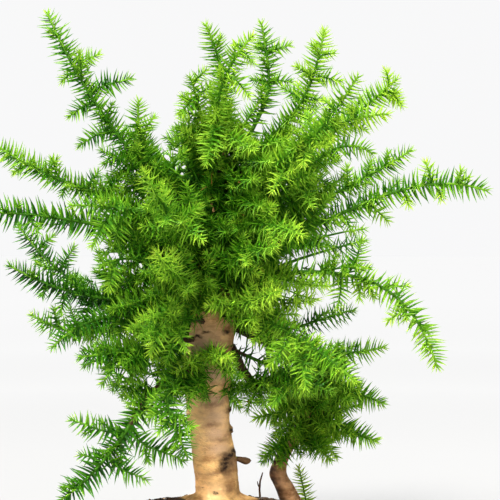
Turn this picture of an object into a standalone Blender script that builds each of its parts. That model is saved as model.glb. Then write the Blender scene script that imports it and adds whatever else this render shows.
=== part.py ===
"""Hoop pine bonsai in a plain oval stoneware pot.

Frame: metres, +Z up, the origin is the centre of the pot's flat underside.
The front of the tree faces -Y and +X is to its right.

The plant is laid out in millimetres in a tree frame of its own, whose origin
is where the main trunk meets the soil; tree() carries a point from there to
the world.  A limb is a cubic curve that leaves its stem at a given height and
ends at a given tip, with a bow in between.  Each mass of needles is an uneven
sleeve round the outer run of its limb.
"""

import math

import bmesh
import bpy
import numpy as np
from mathutils import Matrix, Vector
from mathutils.bvhtree import BVHTree

# ---------------------------------------------------------------- sizes, mm
POT_R = 100.0            # half width of the pot across, at the lip
POT_STRETCH = 46.0       # how much longer the oval is than wide, each way
POT_H = 62.0
POT_WALL = 7.0
POT_FLOOR = 9.0
DRAIN_R, DRAIN_DEEP, DRAIN_X = 10.0, 4.0, 62.0

TRUNK_AT = (-20.0, -20.0, 84.0)   # the trunk's foot from the origin
GAP = 0.4                          # between neighbouring solids
SOIL_EDGE = -28.0                  # soil level at the pot's wall, tree frame
MOUND_FLAT, MOUND_FALL, MOUND_LONG = 34.0, 52.0, 1.5   # the mound round the trunk
STEM_CUT = -15.0                   # where the second stem leaves the soil

SLEEVE = 12.5            # a needle's reach from its twig
HEART, HEART_ABOVE = 21.0, 168.0   # bushier near the trunk, above this height
LEAST = 0.8              # thinnest a mass may be squeezed by its neighbours
SIDES = 7                # facets of a mass of needles, round it and along it
RINGS = (0, 0.035, 0.15, 0.32, 0.52, 0.73, 0.92, 1)

# Trunk: height, radius, sway to the right, sway to the back
TRUNK = [
    (0, 25, 2.5, 0), (4, 20.8, 2.5, 0), (13, 19.7, 2, 0), (30, 19.4, 0, 0),
    (55, 19.0, -3.5, 0), (78, 19.0, -5.5, 0), (100, 19.8, -6, 0),
    (128, 20.2, -4.5, 0), (150, 20.4, -3.5, 0), (170, 19.2, -2, 1),
    (200, 16.5, 0, 2), (235, 13.0, 2, 3), (270, 9.5, 4, 3),
    (300, 6.0, 6, 4), (318, 3.2, 6, 4),
]
ROOTS = [8, 78, 152, 205, 292]     # bearings of the surface roots, degrees

SECOND = [
    (-15, 10.8, 71, 80), (-8, 9.8, 68, 80), (0, 8.9, 64.5, 80), (12, 7.6, 59, 80),
    (24, 7.0, 60.5, 80), (40, 6.4, 69, 80), (56, 5.8, 80, 80),
    (76, 5.0, 92, 80), (96, 3.8, 100, 80), (112, 2.4, 104, 80),
]

# Limbs: name, stem, height on it, tip (right, back, up), bow (right, back,
# up), hook, half width of the spray.  Heights and tips are in the tree frame.
LIMBS = [
    # left side, from the top down
    ("spray_left_leader", "trunk", 244, (-146, -45, 434), (-10, -30, -10), 0, 26),
    ("spray_left_spire", "trunk", 262, (-64, -62, 356), (-20, -10, -10), 0, 15),
    ("spray_left_high", "trunk", 236, (-191, -75, 319), (5, -10, -5), -5, 22),
    ("spray_left_front", "trunk", 228, (-120, -110, 262), (10, -15, 10), 0, 16),
    ("spray_left_long", "trunk", 214, (-205, -60, 258), (10, -20, 10), 0, 22),
    ("spray_left_far", "trunk", 178, (-198, 125, 252), (-5, 10, -35), 0, 26),
    ("spray_left_inner", "trunk", 206, (-95, -105, 210), (0, 0, 5), 5, 18),
    ("spray_left_low", "trunk", 184, (-177, -66, 213), (-5, -10, -15), 0, 24),
    ("spray_left_far_low", "trunk", 164, (-182, 105, 164), (0, 5, -15), -5, 18),
    ("spray_left_drop", "trunk", 168, (-138, -86, 140), (0, -10, 15), 5, 20),
    ("spray_front_low_left", "trunk", 160, (-60, -120, 152), (5, 0, 10), 0, 16),
    ("spray_left_skirt", "trunk", 146, (-116, -80, 134), (5, -10, 0), 0, 22),
    ("spray_left_pendant", "bough_left_low", None, (-132, -66, 10), (0, -5, -10), 0, 38),
    ("spray_left_drooping", "trunk", 128, (-20, -54, 41), (-25, -25, 15), 5, 16),
    # towards the front
    ("spray_front_high_left", "trunk", 222, (-55, -162, 290), (0, -5, -10), 0, 16),
    ("spray_front_mid_left", "trunk", 186, (-45, -150, 224), (0, 0, -5), 0, 16),
    ("spray_front_mid_right", "trunk", 196, (56, -122, 228), (-10, -5, 5), 0, 16),
    ("spray_front_high_right", "trunk", 238, (76, -136, 236), (-5, 0, 10), 0, 16),
    ("spray_front_low_right", "trunk", 176, (58, -106, 192), (-5, 0, -5), 0, 16),
    ("spray_trunk_cross", "trunk", 146, (18, -62, 130), (-15, -5, -5), 5, 10),
    # right side
    ("spray_right_long", "trunk", 226, (237, -66, 275), (-5, -10, 10), 10, 24),
    ("spray_right_arch", "trunk", 200, (193, -66, 121), (25, -10, 40), 5, 20),
    ("spray_right_low", "trunk", 174, (121, -106, 114), (0, -5, 10), 0, 20),
    ("spray_right_far", "trunk", 166, (134, 100, 167), (0, 5, -15), 5, 22),
    ("spray_right_mid", "trunk", 158, (157, 20, 137), (-5, 0, -15), 0, 20),
    ("spray_right_high", "trunk", 236, (140, -50, 307), (0, -5, 20), 10, 20),
    ("spray_right_back", "trunk", 244, (183, 42, 319), (0, 5, -10), 0, 24),
    # upper crown
    ("spray_top_left", "tip", None, (-9, -22, 427), (10, 0, 0), 0, 14),
    ("spray_top_front", "trunk", 272, (35, -86, 408), (-15, -15, 20), -5, 16),
    ("spray_top_nod", "trunk", 284, (-21, -50, 375), (-5, -10, 25), 0, 14),
    ("spray_top_back", "trunk", 286, (41, 18, 436), (20, 5, 0), -10, 20),
    ("spray_top_right", "trunk", 276, (98, -22, 424), (10, 0, -10), -10, 22),
    ("spray_upper_front_right", "trunk", 258, (121, -126, 369), (5, -5, -10), 0, 16),
    ("spray_upper_right", "trunk", 262, (160, -60, 374), (0, 0, -5), 0, 20),
    ("spray_upper_right_front", "trunk", 248, (150, -96, 339), (-20, -15, 10), 5, 16),
    # the second stem's crown
    ("low_spray_right", "second", 90, (160, 74, 78), (0, 0, 5), 0, 16),
    ("low_spray_right_down", "second", 74, (153, 66, 45), (0, 0, -5), 0, 14),
    ("low_spray_down", "second", 62, (108, 40, 29), (-5, 0, 0), 0, 12),
    ("low_spray_left_down", "second", 54, (43, 62, 30), (-5, 0, -5), 0, 16),
    ("low_spray_left", "second", 78, (34, 66, 66), (0, 0, 0), 0, 14),
    ("low_spray_front", "bough_right_back", None, (84, -34, 98), (0, 0, 10), 0, 18),
]

# The back of the crown: three tiers.  Height, rise (degrees), reach, bow up,
# number of limbs, first and last bearing (degrees from +X towards +Y)
BACK_TIERS = [
    (156, -8, 150, 8, 2, 70, 116),
    (196, 15, 184, 10, 4, 38, 132),
    (250, 27, 182, -12, 4, 44, 128),
]
BACK_WIDTH = 34
SPLIT = {"spray_right_arch": 0.70}      # bent limbs are two masses

GREEN, BARK, DARK = (0.10, 0.30, 0.03), (0.42, 0.26, 0.13), (0.10, 0.06, 0.035)


# ------------------------------------------------------------------ helpers
def tree(p):
    """A point of the tree frame, in millimetres, as metres in the world."""
    return Vector(((p[0] + TRUNK_AT[0]) / 1000, (p[1] + TRUNK_AT[1]) / 1000,
                   (p[2] + TRUNK_AT[2]) / 1000))


def along(table, z):
    """Radius, right and back offset of a stem at height z."""
    hs = [row[0] for row in table]
    return [float(np.interp(z, hs, [row[k] for row in table])) for k in (1, 2, 3)]


def material(name, colour, roughness):
    m = bpy.data.materials.new(name)
    m.use_nodes = True
    shader = m.node_tree.nodes["Principled BSDF"]
    shader.inputs["Base Color"].default_value = (*colour, 1)
    shader.inputs["Roughness"].default_value = roughness
    shader.inputs["Metallic"].default_value = 0.0
    return m


def finish(obj, colour, roughness, smooth=True):
    obj.data.materials.clear()
    obj.data.materials.append(material("finish_" + obj.name, colour, roughness))
    if smooth:
        obj.data.shade_smooth()
        obj.data.set_sharp_from_angle(angle=math.radians(40))
    return obj


def new_object(name, mesh, collection):
    obj = bpy.data.objects.new(name, mesh)
    collection.objects.link(obj)
    return obj


def evaluated_mesh(obj):
    bpy.context.view_layer.update()
    graph = bpy.context.evaluated_depsgraph_get()
    mesh = bpy.data.meshes.new_from_object(obj.evaluated_get(graph))
    mesh.transform(obj.matrix_world)
    return mesh


def turned(name, profile, steps, collection):
    """A profile of (radius, height) in mm, turned about Z, as a mesh object."""
    mesh = bpy.data.meshes.new(name)
    verts = [(r / 1000, 0, z / 1000) for r, z in profile]
    mesh.from_pydata(verts, [(i, i + 1) for i in range(len(verts) - 1)], [])
    obj = new_object(name + "_turned", mesh, collection)
    screw = obj.modifiers.new("turn", "SCREW")
    screw.axis, screw.angle = "Z", math.tau
    screw.steps = screw.render_steps = steps
    screw.use_merge_vertices, screw.merge_threshold = True, 0.00005
    screw.use_smooth_shade = False
    made = evaluated_mesh(obj)
    bpy.data.objects.remove(obj)
    bm = bmesh.new()
    bm.from_mesh(made)
    bmesh.ops.remove_doubles(bm, verts=bm.verts, dist=0.00002)
    bmesh.ops.recalc_face_normals(bm, faces=bm.faces)
    bm.to_mesh(made)
    bm.free()
    made.name = name
    return new_object(name, made, collection)


def make_oval(obj):
    """Stretches a round turned piece into the pot's oval, wall for wall."""
    for v in obj.data.vertices:
        r = math.hypot(v.co.x, v.co.y)
        if r > 1e-6:
            v.co.x += POT_STRETCH / 1000 * (v.co.x / r) * min(1.0, r / 0.060)


def boolean(obj, cutter, operation="DIFFERENCE"):
    mod = obj.modifiers.new("cut", "BOOLEAN")
    mod.object, mod.operation, mod.solver = cutter, operation, "EXACT"
    made = evaluated_mesh(obj)
    obj.modifiers.clear()
    obj.data = made


def cutter_cylinder(name, radius, low, high, at, collection):
    bm = bmesh.new()
    bmesh.ops.create_cone(bm, cap_ends=True, segments=20, radius1=radius / 1000,
                          radius2=radius / 1000, depth=(high - low) / 1000)
    mesh = bpy.data.meshes.new(name)
    bm.to_mesh(mesh)
    bm.free()
    mesh.transform(Matrix.Translation((at[0] / 1000, at[1] / 1000, (low + high) / 2000)))
    obj = new_object(name, mesh, collection)
    obj.hide_render, obj.display_type = True, "WIRE"
    return obj


# -------------------------------------------------------------------- limbs
def limb_curve(start, tip, bow, hook, t):
    """A point of the limb, t from 0 at its stem to 1 at its tip."""
    a, b = np.array(start, float), np.array(tip, float)
    p = a + (b - a) * t + np.array(bow, float) * 4 * t * (1 - t)
    p[2] += hook * t * (1 - t) * (2 * t - 1) / 0.0962
    return p


def stem_start(table, height, tip):
    """Where a limb leaves its stem: on the bark, on the side of its tip."""
    r, x, y = along(table, height)
    bearing = math.atan2(tip[1] - y, tip[0] - x)
    reach = 0.75 * r
    return (x + reach * math.cos(bearing), y + reach * math.sin(bearing), height)


def back_limbs():
    """The limbs of the hidden side, tier by tier."""
    made, count = [], 0
    for height, rise, reach, bow, number, first, last in BACK_TIERS:
        for i in range(number):
            count += 1
            bearing = math.radians(first + (last - first) * i / (number - 1))
            up = math.radians(rise + 7 * math.sin(2.1 * count))
            far = reach * (1 + 0.10 * math.cos(1.7 * count))
            tip = (far * math.cos(up) * math.cos(bearing),
                   far * math.cos(up) * math.sin(bearing),
                   height + far * math.sin(up))
            side = 10 * math.sin(2.9 * count)
            made.append((f"spray_back_{count}", "trunk", height + 9 * math.sin(1.3 * count),
                         tip, (-side * math.sin(bearing), side * math.cos(bearing), bow),
                         0, BACK_WIDTH))
    return made


STEMS = {"trunk": TRUNK, "second": SECOND}
BOUGHS = {
    # name: start, end, bow up, radius at the start and at the end, and where
    # along its own curve the mass on its end begins
    "bough_left_low": ((-14, -8, 122), (-60, -45, 94), 4, 4.6, 3.2, 0.035),
    "bough_right_back": ((10, 4, 146), (39, 21, 98), -5, 4.8, 3.6, 0.10),
}
DEAD_STUB = ((10, 3, 35.5), (31, 1, 36.5), 2.6, 3.0)


def bough_point(name, t):
    a, b, bow = (np.array(BOUGHS[name][0], float), np.array(BOUGHS[name][1], float),
                 BOUGHS[name][2])
    p = a + (b - a) * t
    p[2] += bow * 4 * t * (1 - t)
    return p


def all_limbs():
    """[name, what it grows on, its curve, first t of the mass, half width]"""
    rows = []
    for name, on, height, tip, bow, hook, width in LIMBS + back_limbs():
        if on in STEMS:
            start, first = stem_start(STEMS[on], height, tip), 0.0
        elif on == "tip":
            z, _, x, y = TRUNK[-1]
            start, first = (x, y, z + GAP), 0.0
        else:
            start, first = tuple(bough_point(on, 1.0)), BOUGHS[on][5]
        rows.append((name, on, (start, tip, bow, hook), first, width))
    return rows


def sample(args, first, last, n):
    return np.array([limb_curve(*args, first + (last - first) * k / (n - 1))
                     for k in range(n)])


def profile(t, width, length, height):
    """Half width of a spray along its mass, t from 0 to 1.  The upper limbs
    are bushier near the trunk, where their side shoots crowd together."""
    body = SLEEVE + (width - SLEEVE) * math.sin(math.pi * min(1.0, t / 0.9) ** 0.9)
    heart = HEART * math.exp(-(t * length / 55) ** 2) if height > HEART_ABOVE else 0.0
    return max(body, heart) * min(1.0, math.sqrt((1 - t) / 0.16)) * min(1.0, 0.8 + t)


def nearest(points, line):
    return np.linalg.norm(points[:, None] - line[None], axis=2).min(axis=1)


class Mass:
    """One uneven sleeve: a UV sphere laid along its limb."""

    def __init__(self, name, own, seed, args, first, last, width, height):
        self.name, self.own = name, own
        rings = len(RINGS) - 1
        bm = bmesh.new()
        bmesh.ops.create_uvsphere(bm, u_segments=SIDES, v_segments=rings, radius=1.0)
        bmesh.ops.triangulate(bm, faces=bm.faces[:])
        bm.verts.ensure_lookup_table()
        centres = np.array([limb_curve(*args, first + (last - first) * t) for t in RINGS])
        length = float(np.linalg.norm(np.diff(centres, axis=0), axis=1).sum())
        n = len(bm.verts)
        self.centre, self.toward, self.reach = np.zeros((n, 3)), np.zeros((n, 3)), np.zeros(n)
        for i, v in enumerate(bm.verts):
            k = int(round(math.acos(max(-1.0, min(1.0, -v.co.z))) / math.pi * rings))
            self.centre[i] = centres[k]
            if k in (0, rings):
                continue
            around = math.atan2(v.co.y, v.co.x)
            ahead = centres[k + 1] - centres[k - 1]
            ahead /= np.linalg.norm(ahead)
            side = np.cross(ahead, (0, 0, 1))
            side = side / np.linalg.norm(side) if np.linalg.norm(side) > 0.2 else np.array((0, 1.0, 0))
            up = np.cross(side, ahead)
            wide = profile(RINGS[k], width, length, height)
            thick = profile(RINGS[k], SLEEVE + 0.35 * (width - SLEEVE), length, height)
            uneven = 1 + 0.16 * math.sin(2 * around + 1.9 * k + seed) \
                + 0.12 * math.sin(3 * around - 2.6 * k + 2.3 * seed)
            offset = (side * wide * math.cos(around) + up * thick * math.sin(around)) * uneven
            self.reach[i] = np.linalg.norm(offset)
            self.toward[i] = offset / self.reach[i]
        self.bm = bm
        self.faces = [[v.index for v in f.verts] for f in bm.faces]

    def at(self, more=0.0):
        return self.centre + self.toward * (self.reach + more)[:, None]

    def hold_back(self, axes, stems):
        """Each corner stays nearer its own limb than any other, and out of
        the bark of the stems."""
        want = self.reach.copy()
        best = np.minimum(want, LEAST)
        for step in range(1, 15):
            self.reach = want * step / 14
            p = self.at()
            mine = nearest(p, axes[self.own])
            free = np.ones(len(p), bool)
            for name, line in axes.items():
                if name != self.own:
                    free &= nearest(p, line) > mine + 2 * GAP
            for line, radii in stems:
                free &= (np.linalg.norm(p[:, None] - line[None], axis=2) - radii[None]).min(axis=1) > 2 * GAP
            best = np.where(free & (self.reach > best), self.reach, best)
        self.reach = np.where(want > 0, best, 0.0)

    def tree(self):
        return BVHTree.FromPolygons(self.at(GAP).tolist(), self.faces)

    def shrink(self, faces):
        marked = sorted({v for f in faces for v in self.faces[f]})
        self.reach[marked] = np.where(self.reach[marked] > 0,
                                      np.maximum(self.reach[marked] * 0.88, LEAST), 0.0)

    def build(self, collection):
        for v, p in zip(self.bm.verts, self.at()):
            v.co = tree(p)
        if self.bm.calc_volume(signed=True) < 0:
            bmesh.ops.reverse_faces(self.bm, faces=self.bm.faces)
        mesh = bpy.data.meshes.new(self.name)
        self.bm.to_mesh(mesh)
        self.bm.free()
        return finish(new_object(self.name, mesh, collection), GREEN, 0.55, smooth=False)


def fixed_tree(obj):
    """The surface of a finished solid, in the tree frame, for Mass.tree()."""
    corners = [[c * 1000 - o for c, o in zip(v.co, TRUNK_AT)] for v in obj.data.vertices]
    return BVHTree.FromPolygons(corners, [list(p.vertices) for p in obj.data.polygons])


def part_masses(masses, fixed):
    """Neighbours that still touch give way a little at a time."""
    for turn in range(40):
        trees = [m.tree() for m in masses]
        boxes = [(m.at(GAP).min(axis=0), m.at(GAP).max(axis=0)) for m in masses]
        met = 0
        for i in range(len(masses)):
            for j in range(i + 1, len(masses)):
                if (boxes[i][0] > boxes[j][1]).any() or (boxes[j][0] > boxes[i][1]).any():
                    continue
                pairs = trees[i].overlap(trees[j])
                if pairs:
                    met += 1
                    masses[i].shrink({p[0] for p in pairs})
                    masses[j].shrink({p[1] for p in pairs})
            for name, tree_of in fixed.items():
                if name != masses[i].stem:
                    pairs = trees[i].overlap(tree_of)
                    if pairs:
                        met += 1
                        masses[i].shrink({p[0] for p in pairs})
        if not met:
            return turn
    return -1


# -------------------------------------------------------------------- stems
def stem(name, table, sides, roots, colour, collection, swell=(), grow=0.0):
    """A tapering stem: one closed loft of unlike sections, lobed at the foot."""
    bm = bmesh.new()
    rings = []
    for z, r, x, y in table:
        ring = []
        for i in range(sides):
            a = math.tau * i / sides
            reach = r * (1 + 0.03 * math.sin(3 * a + z * 0.05) + 0.02 * math.sin(5 * a - z * 0.11))
            for bearing in roots:
                off = (a - math.radians(bearing) + math.pi) % math.tau - math.pi
                reach += 12 * math.exp(-(off / 0.32) ** 2) * math.exp(-(z / 3.5) ** 1.5)
            for height, bearing, size in swell:
                off = (a - math.radians(bearing) + math.pi) % math.tau - math.pi
                reach += size * math.exp(-(off / 0.5) ** 2 - ((z - height) / 9.0) ** 2)
            reach += grow
            ring.append(bm.verts.new(tree((x + reach * math.cos(a), y + reach * math.sin(a), z))))
        rings.append(ring)
    for low, high in zip(rings, rings[1:]):
        for i in range(sides):
            j = (i + 1) % sides
            bm.faces.new((low[i], low[j], high[j]))
            bm.faces.new((low[i], high[j], high[i]))
    bm.faces.new(list(reversed(rings[0])))
    bm.faces.new(rings[-1])
    bmesh.ops.recalc_face_normals(bm, faces=bm.faces)
    mesh = bpy.data.meshes.new(name)
    bm.to_mesh(mesh)
    bm.free()
    return finish(new_object(name, mesh, collection), colour, 0.85)


def rod(name, points, radii, colour, collection):
    """A tapering limb: a bevelled curve with filled ends."""
    curve = bpy.data.curves.new(name, "CURVE")
    curve.dimensions = "3D"
    curve.bevel_depth = 0.001
    curve.bevel_resolution = 2
    curve.use_fill_caps = True
    spline = curve.splines.new("POLY")
    spline.points.add(len(points) - 1)
    for target, p, r in zip(spline.points, points, radii):
        target.co = (*tree(p), 1)
        target.radius = r
    drawn = new_object(name + "_curve", curve, collection)
    mesh = evaluated_mesh(drawn)
    bpy.data.objects.remove(drawn)
    bm = bmesh.new()
    bm.from_mesh(mesh)
    bmesh.ops.remove_doubles(bm, verts=bm.verts, dist=0.00002)
    if bm.calc_volume(signed=True) < 0:
        bmesh.ops.reverse_faces(bm, faces=bm.faces)
    bm.to_mesh(mesh)
    bm.free()
    mesh.name = name
    return finish(new_object(name, mesh, collection), colour, 0.9)


# ---------------------------------------------------------------- pot, soil
def build_pot(parts, cutters):
    r, h, w = POT_R, POT_H, POT_WALL
    outside = [(0, 0), (r - 19, 0), (r - 18, 1), (r - 18, 5), (r - 15, 7), (r - 11, 12),
               (r - 7, 24), (r - 5, 38), (r - 4.5, h - 12), (r - 3, h - 9), (r, h - 8),
               (r + 1, h - 6), (r + 1, h - 2), (r, h)]
    inside = [(r - w, h), (r - w - 1.5, h - 2), (r - w - 4.5, 38), (r - w - 7, 24),
              (r - w - 12, POT_FLOOR + 4), (r - w - 18, POT_FLOOR), (0, POT_FLOOR)]
    pot = turned("pot", outside + inside, 32, parts)
    make_oval(pot)
    for k, side in enumerate((-1, 1)):
        hole = cutter_cylinder(f"drain_cutter_{k}", DRAIN_R, -2, DRAIN_DEEP,
                               (side * DRAIN_X, 0), cutters)
        boolean(pot, hole)
    return finish(pot, (0.16, 0.085, 0.055), 0.6)


def soil_level(x, y):
    """Height of the soil in the tree frame over the point (x, y) of it."""
    level = SOIL_EDGE
    foot = SECOND[0][2:]
    for away, flat, top, fall in ((math.hypot(x / MOUND_LONG, y), MOUND_FLAT, -GAP, MOUND_FALL),
                                  (math.hypot(x - foot[0], y - foot[1]), 24.0, STEM_CUT + 1, 26.0)):
        past = max(0.0, away - flat)
        level = max(level, SOIL_EDGE + (top - SOIL_EDGE) * math.exp(-(past / fall) ** 1.6))
    return level


def build_soil(parts, cutters):
    r, w = POT_R, POT_WALL
    edge = SOIL_EDGE + TRUNK_AT[2]
    g = GAP
    under = [(0, POT_FLOOR + g), (r - w - 18 - g, POT_FLOOR + g), (r - w - 12 - 1.5 * g, POT_FLOOR + 4 + g),
             (r - w - 7 - 1.5 * g, 24), (r - w - 4.5 - 1.5 * g, 38), (r - w - 3.2 - 1.5 * g, edge)]
    over = [(r - w - 3.2 - 1.5 * g - step, edge) for step in (9, 21, 33, 45, 57, 72)]
    soil = turned("soil", under + over + [(0, edge)], 32, parts)
    make_oval(soil)
    rim = edge / 1000 - 1e-6
    for v in soil.data.vertices:
        if v.co.z > rim:
            x, y = v.co.x * 1000 - TRUNK_AT[0], v.co.y * 1000 - TRUNK_AT[1]
            outer = math.hypot(v.co.x, v.co.y)
            v.co.z = max(edge, soil_level(x, y) + TRUNK_AT[2]) / 1000
            near = (abs(v.co.y * 1000) / (r - w - 3.2)) ** 2 + (v.co.x * 1000 / (r - w - 3.2 + POT_STRETCH)) ** 2
            if near > 0.97:
                v.co.z = edge / 1000
    x, y = SECOND[0][2] + TRUNK_AT[0], SECOND[0][3] + TRUNK_AT[1]
    seat = cutter_cylinder("second_stem_seat", SECOND[0][1] + 6, STEM_CUT - GAP + TRUNK_AT[2],
                           TRUNK_AT[2] + 30, (x, y), cutters)
    boolean(soil, seat)
    return finish(soil, (0.12, 0.075, 0.045), 0.95)


# -------------------------------------------------------------------- build
def main():
    for obj in list(bpy.data.objects):
        bpy.data.objects.remove(obj)
    parts = bpy.data.collections.new("hoop_pine_bonsai")
    cutters = bpy.data.collections.new("cutters")
    for c in (parts, cutters):
        bpy.context.scene.collection.children.link(c)

    build_pot(parts, cutters)
    build_soil(parts, cutters)
    knots = ((150, 300, 2.0), (38, 0, 1.5), (128, 200, 1.5))
    stem("trunk", TRUNK, 22, ROOTS, BARK, parts, swell=knots)
    bark_cutter = stem("bark_cutter", TRUNK, 22, ROOTS, BARK, cutters, swell=knots, grow=GAP)
    bark_cutter.hide_render, bark_cutter.display_type = True, "WIRE"
    stem("second_stem", SECOND, 12, (), (0.30, 0.17, 0.10), parts, swell=((11, 180, 1.5),))
    second_cutter = stem("second_stem_cutter", SECOND, 12, (), BARK, cutters,
                         swell=((11, 180, 1.5),), grow=GAP)
    second_cutter.hide_render, second_cutter.display_type = True, "WIRE"

    lines, boughs = {}, {}
    for key, table in STEMS.items():
        zs = np.linspace(table[0][0], table[-1][0], 120)
        line = np.array([[along(table, z)[1], along(table, z)[2], z] for z in zs])
        radii = np.array([along(table, z)[0] * 1.06 for z in zs])
        lines[key] = (line, radii)
    for name, (a, b, bow, r0, r1, _) in BOUGHS.items():
        ts = [k / 5 for k in range(6)]
        points = [bough_point(name, t) for t in ts]
        radii = [r0 + (r1 - r0) * t for t in ts]
        limb = rod(name, points, radii, BARK, parts)
        boolean(limb, bark_cutter)
        fine = np.array([bough_point(name, t) for t in np.linspace(0, 1, 30)])
        boughs[name] = (fine, np.linspace(r0, r1, 30))
    a, b, r0, r1 = DEAD_STUB
    ts = [0, 0.25, 0.5, 0.72, 0.9, 1.0]
    points = [np.array(a) + (np.array(b, float) - np.array(a)) * t + np.array((0, 0, 1.2 * math.sin(5 * t))) for t in ts]
    stub = rod("dead_stub", points, [r0 * 1.25, r0, r0 * 0.85, r1 * 0.9, r1, r1 * 0.6], DARK, parts)
    boolean(stub, bark_cutter)

    limbs = all_limbs()
    axes = {name: sample(args, 0.0, 1.0, 60) for name, _, args, first, width in limbs}
    masses, cuts = [], []
    for number, (name, rooted_on, args, first, width) in enumerate(limbs):
        # a mass is cut round its own stem and keeps clear of everything else
        others = [lines[key] for key in lines if key != rooted_on and rooted_on != "tip"]
        others += [boughs[key] for key in boughs if key != rooted_on]
        if name in SPLIT:
            bend = SPLIT[name]
            slack = 0.5 / float(np.linalg.norm(np.diff(axes[name], axis=0), axis=1).sum())
            whole = [(name, number, first, bend - slack, width),
                     (name + "_end", number + 50, bend + slack, 1.0, 0.8 * width)]
        else:
            whole = [(name, number, first, 1.0, width)]
        for k, (piece, seed, low, high, wide) in enumerate(whole):
            mass = Mass(piece, name, seed, args, low, high, wide, args[0][2] if k == 0 else 0)
            mass.hold_back(axes, others)
            mass.stem = {"second": "second_stem"}.get(rooted_on, rooted_on) if k == 0 else None
            masses.append(mass)
            cuts.append({"trunk": bark_cutter, "second": second_cutter}.get(rooted_on) if k == 0 else None)
    solid_names = ["pot", "soil", "trunk", "second_stem", "dead_stub", *BOUGHS]
    fixed = {n: fixed_tree(parts.objects[n]) for n in solid_names}
    print("rounds of giving way:", part_masses(masses, fixed))
    for mass, cutter in zip(masses, cuts):
        obj = mass.build(parts)
        if cutter:
            boolean(obj, cutter)


main()
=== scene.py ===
"""The looks of the hoop pine bonsai: bark, twigs, needles, soil, pot, light and camera.

Lengths are in millimetres in the tree's own frame, whose origin is where the
trunk meets the soil, until tree() carries them to the world in metres.
"""
import math

import bpy
import numpy as np
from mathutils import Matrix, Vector, noise


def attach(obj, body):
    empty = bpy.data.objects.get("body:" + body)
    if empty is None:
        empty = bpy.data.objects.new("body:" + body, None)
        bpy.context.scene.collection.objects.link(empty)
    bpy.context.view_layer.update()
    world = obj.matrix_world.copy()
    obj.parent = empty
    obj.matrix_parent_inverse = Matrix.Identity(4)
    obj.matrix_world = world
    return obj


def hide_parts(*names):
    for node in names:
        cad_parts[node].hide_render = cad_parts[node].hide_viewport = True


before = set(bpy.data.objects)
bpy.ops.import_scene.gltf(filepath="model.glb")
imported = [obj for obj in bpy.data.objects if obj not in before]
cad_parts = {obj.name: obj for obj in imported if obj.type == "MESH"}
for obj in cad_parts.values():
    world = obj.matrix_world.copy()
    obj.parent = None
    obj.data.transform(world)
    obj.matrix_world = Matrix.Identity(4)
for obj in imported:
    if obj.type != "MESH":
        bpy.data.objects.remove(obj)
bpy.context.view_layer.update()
scene = bpy.context.scene

# ------------------------------------------------------------- named sizes
TRUNK_AT = np.array((-20.0, -20.0, 84.0))
POT_R, POT_STRETCH, POT_H, POT_WALL, POT_FLOOR = 100.0, 46.0, 62.0, 7.0, 9.0
DRAIN_R, DRAIN_DEEP, DRAIN_X = 10.0, 4.0, 62.0
SOIL_EDGE, STEM_CUT, GAP = -28.0, -15.0, 0.4
MOUND_FLAT, MOUND_FALL, MOUND_LONG = 34.0, 52.0, 1.5

NEEDLE = 15.3             # length of a grown needle
NEEDLE_W, NEEDLE_T = 1.90, 0.88     # its width along the shoot, and its thickness
PITCH = 0.76              # one needle for each so many mm of shoot
VIEW_BACK = 1400.0        # how far in front of the trunk the eye stands
VIEW_MID = (31.5, 225.0)  # what the eye looks at: right of the trunk, and up

TRUNK = [
    (0, 25, 2.5, 0), (4, 20.8, 2.5, 0), (13, 19.7, 2, 0), (30, 19.4, 0, 0),
    (55, 19.0, -3.5, 0), (78, 19.0, -5.5, 0), (100, 19.8, -6, 0),
    (128, 20.2, -4.5, 0), (150, 20.4, -3.5, 0), (170, 19.2, -2, 1),
    (200, 16.5, 0, 2), (235, 13.0, 2, 3), (270, 9.5, 4, 3),
    (300, 6.0, 6, 4), (318, 3.2, 6, 4),
]
ROOTS = [8, 78, 152, 205, 292]
KNOTS = ((150, 300, 2.0), (40, 180, 1.1), (128, 200, 1.5))

SECOND = [
    (-15, 10.8, 71, 80), (-8, 9.8, 68, 80), (0, 8.9, 64.5, 80), (12, 7.6, 59, 80),
    (24, 7.0, 60.5, 80), (40, 6.4, 69, 80), (56, 5.8, 80, 80),
    (76, 5.0, 92, 80), (96, 3.8, 100, 80), (112, 2.4, 104, 80),
]

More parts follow.
